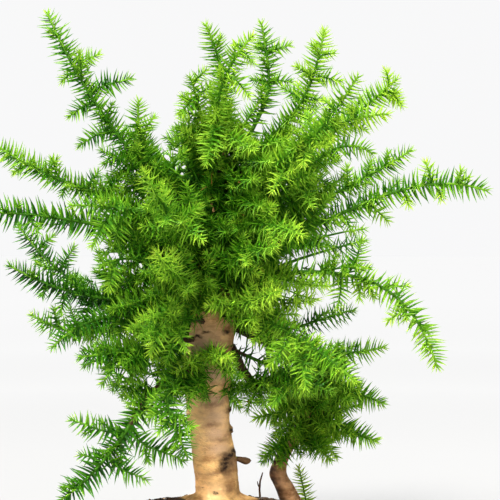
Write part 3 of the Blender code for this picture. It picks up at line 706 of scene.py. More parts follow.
def add_close(shoots, rng):
    """Short shoots, dark with painted shade, close about the trunk and the second stem, which hide them."""
    for k in range(58):
        f = (k + rng.random()) / 58
        height = 158 + 150 * f
        bearing = k * math.radians(137.5)
        r, x, y = along(TRUNK, height)
        out = np.array((math.cos(bearing), math.sin(bearing), 0.0))
        round_ = np.array((-out[1], out[0], 0.0)) * (1 if k % 2 else -1)
        heading = unit(out * rng.uniform(0.5, 0.9) + round_ * rng.uniform(0.4, 0.9) + (0, 0, rng.uniform(-0.3, 0.7)))
        start = np.array((x, y, height)) + out * r * 0.8
        line = side_line(start, heading, rng.uniform(34, 52), -0.05, out, rng)
        shoots.append(Shoot(line, round_, 1, heart_group(bearing, height), thick=0.8, round_=True, lit=-1.2))
    for k in range(40):
        f = (k + rng.random()) / 40
        height = 44 + 68 * f
        bearing = k * math.radians(137.5) + 0.4
        r, x, y = along(SECOND, height)
        rise = math.radians(-16 + 62 * f + rng.normal(0, 10))
        out = np.array((math.cos(bearing), math.sin(bearing), 0.0))
        heading = out * math.cos(rise) + np.array((0, 0, math.sin(rise)))
        line = side_line((x, y, height), heading, rng.uniform(30, 46), 0.02, out, rng)
        side = np.cross(heading, (0, 0, 1))
        shoot = Shoot(line, side, 1, "needles_second_stem", thick=0.8, round_=True, lit=-0.6, pitch=0.6, size=1.06)
        shoots.append(shoot)
        add_twiglets(shoots, shoot, rng)


def heart_group(bearing, height):
    """Which piece a shoot off the trunk belongs to, by where it stands."""
    x, y = math.cos(bearing), math.sin(bearing)
    if y > 0.45:
        return "needles_back_high" if height > 215 else "needles_back_low"
    if height > 262:
        return "needles_top"
    if y < -0.6:
        return "needles_front"
    if x > 0:
        return "needles_right"
    return "needles_left_mid" if height > 190 else "needles_left_low"


def add_placed(shoots, mains):
    """The side shoots of PLACED, each off the nearest point of its limb."""
    for number, (limb, leaves, tip, back, lit) in enumerate(PLACED):
        rng = np.random.default_rng(6200 + number)
        main = mains[limb]
        where = seen_at(main.line)
        i = int(np.argmin(np.hypot(where[:, 0] - leaves[0], where[:, 1] - leaves[1])))
        start = main.line[i]
        end = in_view(tip[0], tip[1], start[1] + back)
        run = end - start
        t = directions(main.line)[i]
        s = np.linspace(0, 1, 12)[:, None]
        bend = t * np.linalg.norm(run) * 0.12
        line = start + run * s + bend * (4 * s * (1 - s)) * (1 - s) * 1.4
        way = unit(run)
        facing = abs(way[1]) > 0.62
        side = np.array((1.0, 0, 0.2)) if facing else np.cross(way, (0, 1, 0))
        child = Shoot(line, side, 1, main.group, thick=0.95, round_=facing, lit=lit,
                      young=20.0 if lit > 1 else 12.0, flat=0.60, bare=3.0,
                      pitch=main.pitch, size=min(1.08, main.size))
        shoots.append(child)
        if child.length > 42:
            add_twiglets(shoots, child, rng)


def add_twiglets(shoots, parent, rng):
    """The short shoots on a long side shoot."""
    ahead = directions(parent.line)
    from_tip, flip = 20.0 + rng.uniform(0, 5), rng.integers(2) * 2 - 1
    while from_tip < parent.length - 8:
        i = int(np.searchsorted(parent.at, parent.length - from_tip))
        t = ahead[i]
        side = unit(parent.side - t * np.dot(parent.side, t))
        out = side * flip + np.cross(side, t) * rng.normal(0, 0.45)
        heading = unit(t * 0.62 + unit(out) * 0.78)
        length = min(20.0, 0.4 * from_tip) * rng.uniform(0.75, 1.15)
        if length > 6:
            line = side_line(parent.line[i], heading, length, 0.0, t, rng)
            shoots.append(Shoot(line, side, 2, parent.group, thick=0.6, round_=True, lit=parent.lit))
        flip = -flip
        from_tip += rng.uniform(13, 20)


def add_companions(shoots, main, width, rng):
    """Two more limbs beside one at the back, which fill out its mass."""
    t = np.linspace(0, 1, 30)[:, None]
    base = main.line[np.linspace(0, len(main.line) - 1, 30).astype(int)]
    run = unit(base[-1] - base[0])
    side = unit(np.cross(run, (0, 0, 1)))
    up = np.cross(side, run)
    for way, lift in ((-1, 0.35), (1, -0.30)):
        spread = width * 0.95
        line = base + (side * way * spread + up * lift * spread) * np.sin(t * 1.9) * 0.9
        line = line[:int(rng.integers(24, 29))]
        other = Shoot(line, side, 0, main.group, thick=1.1, pitch=PITCH * 1.25)
        shoots.append(other)
        add_side_shoots(shoots, other, width * 0.7, rng)
        add_inner_shoots(shoots, other, width * 0.5, rng)


# Gaps in the crown where the light comes through, in the front view: left, top, right, bottom
GAPS = [
    (232, 94, 250, 122), (275, 96, 293, 118), (244, 124, 274, 142), (156, 98, 177, 126), (340, 155, 362, 165),
    (236, 330, 252, 348), (250, 346, 266, 360), (118, 366, 126, 374), (148, 376, 156, 386),
    (240, 424, 272, 450), (72, 146, 100, 160), (366, 244, 392, 268), (30, 190, 52, 202), (82, 262, 92, 276),
    (274, 250, 288, 268), (290, 248, 306, 267), (308, 250, 326, 262), (278, 288, 294, 303), (298, 286, 312, 297),
    (326, 226, 350, 242), (322, 326, 356, 342), (98, 400, 118, 412), (178, 74, 192, 86), (346, 354, 362, 369),
    (342, 412, 354, 425), (163, 112, 178, 126),
]
# Small holes right through the crown, in the front view: across, down, radius
HOLES = [
    (234, 170, 1.8), (239, 164, 1.6), (230, 156, 2.0), (223, 154, 1.6), (232, 176, 1.5), (225, 184, 1.7),
    (226, 191, 1.3), (227, 200, 1.6), (212, 204, 1.7), (214, 210, 1.2), (184, 167, 1.8), (167, 158, 2.6),
    (176, 152, 2.2), (176, 170, 1.8), (172, 164, 1.6), (182, 174, 1.5), (282, 193, 1.8), (287, 187, 2.0),
    (286, 170, 1.5), (285, 204, 2.0), (241, 172, 1.3), (219, 172, 1.2), (236, 183, 1.2), (112, 254, 1.8),
    (118, 256, 1.6), (125, 260, 1.8), (133, 262, 1.6), (106, 250, 1.8), (141, 264, 1.5), (236, 347, 2.6),
    (243, 341, 2.4), (248, 352, 2.2), (256, 358, 2.2), (262, 352, 1.8), (187, 339, 2.4), (124, 374, 2.2),
    (150, 381, 2.8), (156, 386, 1.8), (330, 300, 1.8), (322, 304, 1.6), (305, 272, 1.5), (296, 275, 1.4),
    (300, 312, 1.5), (252, 372, 2.0), (240, 366, 1.6), (262, 368, 1.6), (170, 152, 1.6), (338, 270, 2.0),
    (352, 272, 2.4), (262, 116, 2.0), (256, 128, 2.0), (300, 268, 1.4), (318, 270, 1.5),
]

# Painted light and shade on parts of the crown, given to each spray as a
# whole: right, up, reach (mm, from the trunk's foot), and by how many greens
SUNLIT = [
    (50, 175, 45, 1.0),      # low in the heart, over the trunk
    (15, 150, 30, 1.0),      # just right of the trunk
    (60, 60, 45, 1.5),       # the second stem's crown
    (-20, 140, 45, 0.5),     # over the bare trunk, left
    (15, 335, 30, 0.5),      # high in the middle
    (0, 245, 55, -0.5),      # the heart of the crown
    (-50, 240, 25, -0.5),    # the shaded side of the left boughs
    (-125, 180, 35, -1.0),
    (-110, 330, 35, -0.5),
    (105, 260, 30, -0.5),    # the shaded side of the right boughs
    (70, 115, 25, -0.5),     # where the second stem's crown begins
]

# Where the trunk shows bare between shoots
BARE_TRUNK = [(188, 318, 234, 352), (208, 364, 222, 386), (196, 402, 228, 500)]

# Limbs whose needles lie flat to two sides, like a comb
COMBED = {"spray_left_long", "spray_left_pendant", "spray_left_drooping", "spray_right_long", "spray_right_arch"}

# Limbs that stand apart from the crown, with only short side shoots
OPEN = {
    "spray_left_leader", "spray_left_spire", "spray_left_high", "spray_left_long", "spray_left_low",
    "spray_left_front", "spray_left_far", "spray_left_far_low", "spray_left_pendant", "spray_left_drooping",
    "spray_top_left", "spray_top_front", "spray_top_nod", "spray_top_back", "spray_top_right",
    "spray_upper_front_right", "spray_upper_right", "spray_upper_right_front", "spray_right_high",
    "spray_right_back", "spray_right_long", "spray_right_arch", "spray_right_low", "spray_right_mid",
    "spray_right_far", "spray_left_drop",
}

# Painted light on whole limbs, more at their tips: how many greens lighter each limb's needles are; below nought is
# painted shade
LIT = {
    "spray_front_high_left": 1.6, "spray_front_mid_left": 1.6, "spray_front_high_right": 1.8,
    "spray_left_front": 0.6, "spray_left_inner": 0.4, "spray_left_leader": 0.4, "spray_left_spire": 0.5,
    "spray_left_high": 0.3, "spray_top_left": 0.7, "spray_top_front": 0.9, "spray_top_right": 0.8, "spray_top_nod": 0.6,
    "spray_right_arch": 0.5, "spray_upper_right_front": 0.7, "spray_upper_front_right": 0.6,
    "spray_upper_right": 0.2, "spray_right_low": 0.6, "spray_front_mid_right": 0.7,
    "spray_front_low_right": 0.8, "spray_front_low_left": 0.0, "spray_left_drop": 0.0,
    "spray_trunk_cross": 0.8, "spray_right_far": -0.3, "spray_left_far": -0.2, "spray_left_long": -1.3,
    "spray_right_long": -0.4, "spray_top_back": 0.1, "spray_left_pendant": -0.3, "spray_left_drooping": -0.2,
    "spray_left_skirt": -0.5, "spray_left_low": -0.3,
}

# Side shoots placed one by one: the limb, where it leaves and where its tip stands
# in the front view, how much nearer (-) or further back the tip is, and its light
PLACED = [
    ("spray_left_leader", (80, 67), (99, 54), 0, 0.5),
    ("spray_left_high", (120, 195), (94, 180), 14, -0.9),
    ("spray_left_high", (130, 196), (106, 176), 20, -1.0),
    ("spray_left_high", (60, 180), (52, 158), -4, 0.4),
    ("spray_left_low", (110, 297), (84, 262), 16, -0.3),
    ("spray_left_low", (124, 296), (98, 252), 10, -0.4),
    ("spray_left_low", (130, 296), (114, 262), -6, 0.0),
    ("spray_left_low", (90, 297), (74, 276), 4, 0.0),
    ("spray_left_long", (128, 235), (100, 258), -6, -0.4),
    ("spray_left_long", (150, 240), (128, 272), -12, 0.0),
    ("spray_left_far_low", (62, 330), (54, 308), -10, 0.0),
    ("spray_left_far_low", (84, 333), (70, 308), -20, 0.1),
    ("spray_right_arch", (345, 276), (362, 240), -4, 0.3),
    ("trunk", (226, 366), (246, 374), 12, 0.2),
    ("trunk", (226, 376), (247, 392), 10, 0.7),
    ("trunk", (226, 384), (240, 408), 8, 1.0),
    ("trunk", (226, 392), (250, 386), 14, -0.2),
    ("trunk", (225, 340), (238, 344), -10, 0.2),
    ("bough_left_low", (176, 374), (140, 372), -30, 0.0),
    ("bough_left_low", (160, 388), (134, 392), 8, -0.3),
    ("bough_left_low", (168, 382), (146, 392), 4, -0.2),
    ("spray_left_skirt", (110, 352), (84, 350), 0, 0.0),
    ("spray_left_skirt", (130, 349), (104, 368), -4, 0.0),
    ("spray_left_skirt", (146, 347), (120, 378), -10, -0.1),
    ("spray_right_back", (300, 205), (344, 176), -24, -0.4),
    ("spray_right_back", (290, 210), (330, 188), -30, -0.5),
    ("spray_right_high", (300, 175), (334, 186), -4, -0.2),
    ("spray_right_high", (290, 185), (322, 202), -10, -0.3),
    ("trunk", (225, 300), (312, 302), -48, 0.1),
    ("trunk", (225, 294), (328, 286), -84, 0.2),
    ("trunk", (225, 286), (318, 300), -76, 0.2),
    ("spray_upper_right", (388, 86), (386, 70), -2, 0.8),
    ("spray_upper_right", (384, 90), (402, 106), -4, 0.6),
    ("spray_upper_right", (374, 97), (398, 92), -8, 0.5),
    ("spray_top_nod", (200, 110), (182, 96), -10, 0.3),
    ("spray_top_nod", (202, 120), (180, 112), -12, 0.2),
    ("spray_top_nod", (204, 130), (184, 134), -16, 0.2),
    ("spray_top_nod", (198, 100), (212, 84), -16, 0.5),
    ("spray_top_nod", (194, 86), (206, 70), -10, 0.5),
    ("spray_top_nod", (192, 84), (182, 78), -6, 0.3),
    ("spray_top_nod", (205, 136), (220, 112), -24, 0.5),
    ("spray_left_drooping", (166, 404), (150, 418), -4, 0.0),
    ("spray_left_drooping", (170, 416), (158, 432), -4, 0.0),
    ("spray_left_drooping", (174, 428), (190, 436), -6, 0.0),
    ("spray_left_drooping", (168, 410), (184, 418), -6, 0.0),
    ("spray_left_drooping", (165, 396), (150, 402), -4, 0.0),
    ("trunk", (190, 366), (194, 394), -46, 0.8),
    ("trunk", (196, 372), (176, 390), -40, 0.2),
    ("trunk", (200, 360), (178, 372), -48, 0.4),
    ("trunk", (205, 366), (232, 374), -50, 0.3),
    ("trunk", (208, 384), (226, 392), -44, 0.2),
    ("trunk", (205, 384), (204, 400), -40, 0.2),
    ("trunk", (202, 358), (214, 360), -52, 0.6),
    ("spray_left_leader", (78, 72), (62, 81), 4, 0.3),
    ("spray_left_leader", (96, 94), (131, 78), 6, 0.0),
    ("spray_left_leader", (96, 105), (69, 116), 0, 0.2),
    ("spray_left_leader", (112, 135), (74, 148), 4, 0.0),
    ("spray_left_spire", (150, 135), (158, 113), 6, 0.2),
    ("spray_left_high", (50, 172), (57, 159), -6, 0.5),
    ("spray_left_high", (44, 172), (50, 198), 4, 0.2),
    ("spray_left_long", (19, 216), (19, 203), -6, 0.3),
    ("spray_left_long", (30, 218), (38, 232), -8, 0.0),
    ("spray_left_long", (110, 232), (130, 214), -12, 0.2),
    ("spray_left_far", (40, 248), (53, 236), 0, 0.0),
    ("spray_left_far", (65, 268), (74, 247), 0, 0.0),
    ("spray_left_far", (52, 258), (36, 262), 0, 0.0),
    ("spray_left_front", (118, 205), (92, 246), -6, 0.6),
    ("spray_left_front", (130, 205), (112, 252), 10, 0.0),
    ("spray_left_inner", (120, 262), (108, 290), -4, 0.5),
    ("spray_left_low", (50, 283), (42, 296), -4, 0.3),
    ("spray_left_low", (66, 290), (70, 276), -6, 0.2),
    ("spray_left_low", (70, 294), (60, 312), -4, 0.4),
    ("spray_left_low", (96, 300), (84, 330), -8, 0.4),
    ("spray_left_low", (120, 300), (112, 328), -14, 0.3),
    ("spray_left_drop", (110, 315), (88, 340), -2, 0.3),
    ("spray_left_drop", (130, 312), (118, 345), -6, 0.2),
    ("spray_left_skirt", (120, 350), (84, 366), 6, 0.0),
    ("spray_left_skirt", (130, 355), (102, 384), 0, 0.0),
    ("spray_left_skirt", (150, 355), (122, 396), 4, 0.0),
    ("spray_left_skirt", (165, 355), (150, 402), 8, 0.0),
    ("spray_left_pendant", (127, 428), (71, 420), 0, -0.1),
    ("spray_left_pendant", (128, 428), (184, 461), 4, 0.0),
    ("spray_left_pendant", (110, 456), (80, 455), 2, 0.2),
    ("spray_left_pendant", (112, 458), (146, 480), -2, 0.2),
    ("spray_left_pendant", (90, 482), (64, 488), 0, 0.1),
    ("spray_right_long", (428, 188), (426, 162), 2, 1.0),
    ("spray_right_long", (455, 184), (461, 170), -2, 0.9),
    ("spray_right_long", (402, 190), (409, 206), -4, 1.1),
    ("spray_right_long", (436, 187), (442, 200), -4, 1.0),
    ("spray_right_long", (362, 200), (388, 221), 4, 0.2),
    ("spray_right_long", (340, 215), (352, 232), 2, 0.1),
    ("spray_right_arch", (404, 308), (388, 321), -2, 1.0),
    ("spray_right_arch", (352, 278), (360, 299), -4, 1.2),
    ("spray_right_arch", (336, 276), (338, 308), -2, 0.3),
    ("spray_right_arch", (365, 282), (374, 297), -4, 0.9),
    ("spray_right_arch", (270, 272), (322, 283), -14, 0.0),
    ("spray_top_front", (240, 52), (253, 63), -4, 0.6),
    ("spray_top_front", (234, 78), (250, 96), -6, 0.9),
    ("spray_top_front", (240, 46), (234, 44), 6, 0.4),
    ("spray_top_back", (271, 54), (290, 45), -4, -0.2),
    ("spray_top_back", (268, 52), (256, 46), 4, -0.2),
    ("spray_top_back", (270, 84), (252, 80), 0, -0.4),
    ("spray_top_back", (270, 84), (292, 82), 0, -0.4),
    ("spray_top_back", (264, 116), (284, 106), 0, -0.4),
    ("spray_top_back", (262, 118), (242, 110), 0, -0.4),
    ("spray_top_right", (319, 56), (312, 44), -4, 0.6),
    ("spray_top_right", (319, 58), (334, 53), -4, 0.6),
    ("spray_top_right", (314, 80), (296, 66), -6, 0.2),
    ("spray_top_right", (315, 80), (341, 81), 0, 0.0),
    ("spray_top_right", (304, 104), (284, 88), 2, 0.0),
    ("spray_top_right", (304, 104), (322, 100), 2, 0.0),
    ("spray_top_nod", (205, 95), (180, 116), -10, 0.3),
    ("spray_upper_right", (386, 92), (399, 103), -2, 0.6),
    ("spray_upper_right", (372, 104), (368, 92), 4, 0.2),
    ("spray_upper_right_front", (355, 120), (348, 106), -4, 0.7),
    ("spray_upper_right_front", (340, 122), (366, 130), 2, 0.2),
    ("spray_upper_front_right", (335, 112), (324, 100), 4, 0.4),
    ("spray_right_back", (386, 172), (388, 153), 0, 0.1),
    ("spray_right_back", (366, 184), (371, 160), 0, 0.0),
    ("spray_right_back", (344, 190), (347, 166), 0, 0.0),
    ("spray_right_far", (322, 316), (326, 326), 0, -0.2),
    ("spray_right_mid", (320, 356), (359, 384), 14, -0.2),
    # the heart of the crown, seen end on
    ("spray_front_high_left", (165, 215), (164, 224), -34, 0.5),
    ("spray_front_high_left", (172, 228), (203, 240), -26, 0.3),
    ("spray_front_high_left", (178, 222), (196, 208), -10, 0.1),
    ("spray_top_front", (222, 120), (206, 164), -34, 0.5),
    ("trunk", (216, 160), (200, 112), -40, 0.4),
    ("trunk", (218, 150), (230, 104), -58, 0.6),
    ("trunk", (216, 172), (184, 130), -50, 0.3),
    ("trunk", (218, 142), (211, 92), -32, 0.5),
    ("trunk", (220, 150), (244, 120), -50, 0.5),
    ("trunk", (216, 176), (170, 142), -20, -0.2),
    ("trunk", (222, 172), (256, 142), -84, 0.3),
    ("trunk", (222, 182), (270, 160), -88, 0.3),
    ("trunk", (222, 190), (280, 180), -78, 0.2),
    ("trunk", (222, 170), (288, 140), -66, 0.3),
    ("trunk", (222, 164), (306, 130), -56, 0.3),
    ("trunk", (220, 200), (254, 178), -92, 0.2),
    ("trunk", (220, 210), (262, 206), -96, 0.2),
    ("trunk", (216, 222), (238, 214), -74, -0.5),
    ("trunk", (216, 200), (206, 186), -64, -0.9),
    ("trunk", (216, 236), (226, 232), -84, -0.3),
    # rows of shoots to the left, one above another
    ("trunk", (213, 262), (102, 252), -92, 0.2),
    ("trunk", (213, 286), (106, 286), -90, 0.1),
    ("trunk", (213, 300), (110, 308), -96, 0.3),
    ("trunk", (213, 318), (128, 330), -98, 0.4),
    ("trunk", (213, 275), (142, 272), -112, 0.1),
    ("trunk", (213, 308), (150, 318), -112, 0.3),
    ("trunk", (213, 250), (146, 236), -80, 0.0),
    ("spray_left_leader", (128, 160), (104, 164), -6, 0.0),
    ("spray_left_leader", (136, 172), (108, 182), -4, -0.3),
    ("spray_left_leader", (120, 150), (138, 132), -10, 0.1),
    ("spray_left_leader", (104, 122), (112, 104), -12, 0.3),
    ("spray_left_leader", (146, 186), (122, 196), 6, -0.4),
    ("spray_left_spire", (158, 160), (142, 138), -8, 0.3),
    ("spray_left_spire", (170, 175), (186, 150), -10, 0.0),
    ("spray_left_high", (90, 188), (98, 172), -6, 0.0),
    ("spray_left_high", (112, 192), (122, 174), -4, -0.2),
    ("spray_left_high", (70, 184), (62, 196), -4, 0.2),
    ("spray_top_front", (228, 140), (254, 150), -46, 0.3),
    ("spray_upper_front_right", (275, 160), (272, 192), -30, 0.6),
    ("spray_upper_right_front", (300, 150), (296, 130), -24, 0.2),
    ("spray_upper_right_front", (312, 138), (326, 146), -20, 0.9),
    ("spray_upper_front_right", (292, 138), (303, 165), -10, 0.7),
    ("spray_right_high", (300, 190), (312, 206), -40, 0.8),
    ("spray_front_mid_right", (225, 262), (214, 248), -16, 0.3),
    ("spray_front_low_right", (222, 300), (222, 312), -22, 0.8),
    ("spray_front_low_right", (236, 304), (206, 306), -24, 0.7),
    ("spray_front_low_right", (250, 304), (300, 302), 4, 0.3),
    ("spray_right_low", (268, 314), (250, 346), -8, 0.6),
    ("spray_right_low", (292, 336), (306, 388), -22, 0.4),
    ("spray_right_low", (286, 334), (270, 366), -4, 0.3),
    ("spray_right_low", (310, 346), (322, 336), -6, 0.6),
    # over the trunk
    ("spray_trunk_cross", (215, 350), (226, 358), -14, 1.0),
    ("trunk", (211, 356), (191, 397), -52, 0.3),
    ("trunk", (211, 370), (176, 390), -46, -0.1),
    ("trunk", (211, 366), (216, 354), -60, 0.7),
    ("trunk", (211, 378), (231, 390), -40, -0.2),
    ("trunk", (211, 376), (206, 402), -44, 0.0),
    ("trunk", (211, 370), (242, 376), -36, 0.0),
    ("trunk", (211, 372), (188, 362), -58, 0.4),
    ("trunk", (211, 360), (232, 366), -50, 0.4),
    ("trunk", (211, 384), (240, 402), -30, 0.6),
    # the skirt on the left
    ("spray_left_skirt", (140, 355), (96, 344), -14, 0.2),
    ("spray_left_skirt", (160, 358), (130, 380), -10, 0.0),
    ("spray_left_skirt", (175, 360), (160, 392), -12, 0.0),
    ("spray_left_skirt", (185, 362), (172, 398), -6, -0.1),
    ("spray_left_skirt", (150, 356), (108, 372), -20, 0.1),
    ("spray_left_skirt", (180, 360), (140, 362), 16, -0.3),
    ("spray_front_low_left", (165, 328), (150, 354), -8, 0.3),
    ("spray_front_low_left", (178, 324), (186, 350), -10, 0.2),
    ("spray_front_low_left", (185, 324), (166, 362), 8, 0.0),
    ("spray_front_low_left", (170, 324), (140, 318), -4, 0.5),
    ("spray_left_pendant", (143, 404), (170, 424), -6, 0.0),
    ("spray_left_pendant", (140, 408), (158, 392), -10, 0.0),
    ("spray_left_drooping", (160, 388), (150, 414), 2, -0.1),
    # over the boughs
    ("bough_left_low", (160, 388), (138, 384), -22, 0.0),
    ("bough_left_low", (150, 396), (128, 404), -14, 0.1),
    ("bough_left_low", (172, 376), (152, 384), -24, -0.1),
    ("bough_left_low", (165, 384), (178, 402), -22, 0.0),
    ("bough_left_low", (184, 370), (166, 362), -20, -0.1),
    ("bough_left_low", (184, 370), (190, 392), -24, 0.0),
    ("bough_left_low", (146, 398), (134, 418), -10, 0.1),
    ("bough_right_back", (256, 386), (240, 384), -18, -0.4),
    ("bough_right_back", (254, 384), (276, 372), -20, -0.3),
    ("bough_right_back", (257, 388), (248, 402), -22, 0.0),
    ("bough_right_back", (252, 380), (260, 366), -16, -0.2),
    ("bough_right_back", (248, 374), (268, 384), -30, -0.3),
    ("bough_right_back", (250, 378), (238, 392), -26, -0.2),
    ("low_spray_front", (276, 386), (290, 370), -8, 0.1),
    ("low_spray_front", (284, 386), (272, 404), -6, 0.0),
    # the second stem's crown
    ("second", (322, 386), (362, 391), -6, 0.0),
    ("second", (326, 370), (300, 352), -10, 0.1),
    ("second", (326, 370), (274, 354), 0, -0.1),
    ("second", (322, 386), (256, 384), -12, -0.4),
    ("second", (314, 406), (256, 401), -4, -0.3),
    ("second", (314, 406), (346, 420), -24, 0.0),
    ("second", (322, 386), (342, 366), 6, -0.2),
    ("second", (318, 395), (300, 380), -40, 0.1),
    ("second", (314, 406), (294, 412), -36, 0.0),
    ("second", (308, 418), (322, 430), -34, 0.0),
    ("second", (322, 386), (334, 390), -38, 0.1),
    ("second", (301, 428), (316, 446), -16, 0.1),
    ("second", (289, 444), (280, 465), -20, 0.2),
    ("second", (289, 444), (301, 456), -24, 0.1),
    ("second", (292, 440), (262, 462), -18, 0.2),
    ("second", (306, 420), (292, 436), -38, 0.0),
    ("second", (318, 395), (282, 392), -30, -0.1),
    ("second", (318, 395), (350, 402), -20, 0.0),
    ("second", (310, 414), (338, 434), -8, 0.0),
    ("second", (322, 386), (312, 366), -30, 0.1),
    ("second", (314, 404), (276, 416), 6, -0.3),
    ("second", (306, 424), (337, 457), -10, 0.9),
    ("second", (308, 420), (325, 450), -22, 0.4),
    # the rest
    ("spray_top_right", (300, 118), (317, 109), -6, -0.1),
    ("spray_top_right", (298, 124), (320, 124), -10, -0.1),
    ("spray_upper_front_right", (298, 134), (308, 112), 10, -0.3),
    ("bough_right_back", (256, 386), (264, 405), -18, 0.1),
    ("bough_right_back", (254, 384), (247, 411), -24, 0.9),
    ("bough_left_low", (160, 388), (112, 384), -10, -0.1),
    ("bough_left_low", (150, 394), (124, 396), -6, 0.0),
    ("spray_left_skirt", (140, 352), (112, 390), 2, -0.2),
    ("spray_left_drooping", (182, 442), (199, 461), -4, -0.1),
    ("spray_left_drooping", (178, 430), (200, 446), -6, -0.1),
    ("spray_left_drooping", (170, 416), (196, 428), -8, -0.1),
    ("spray_left_high", (30, 164), (14, 172), -4, 0.2),
    ("spray_left_high", (56, 178), (44, 192), -6, 0.0),
]


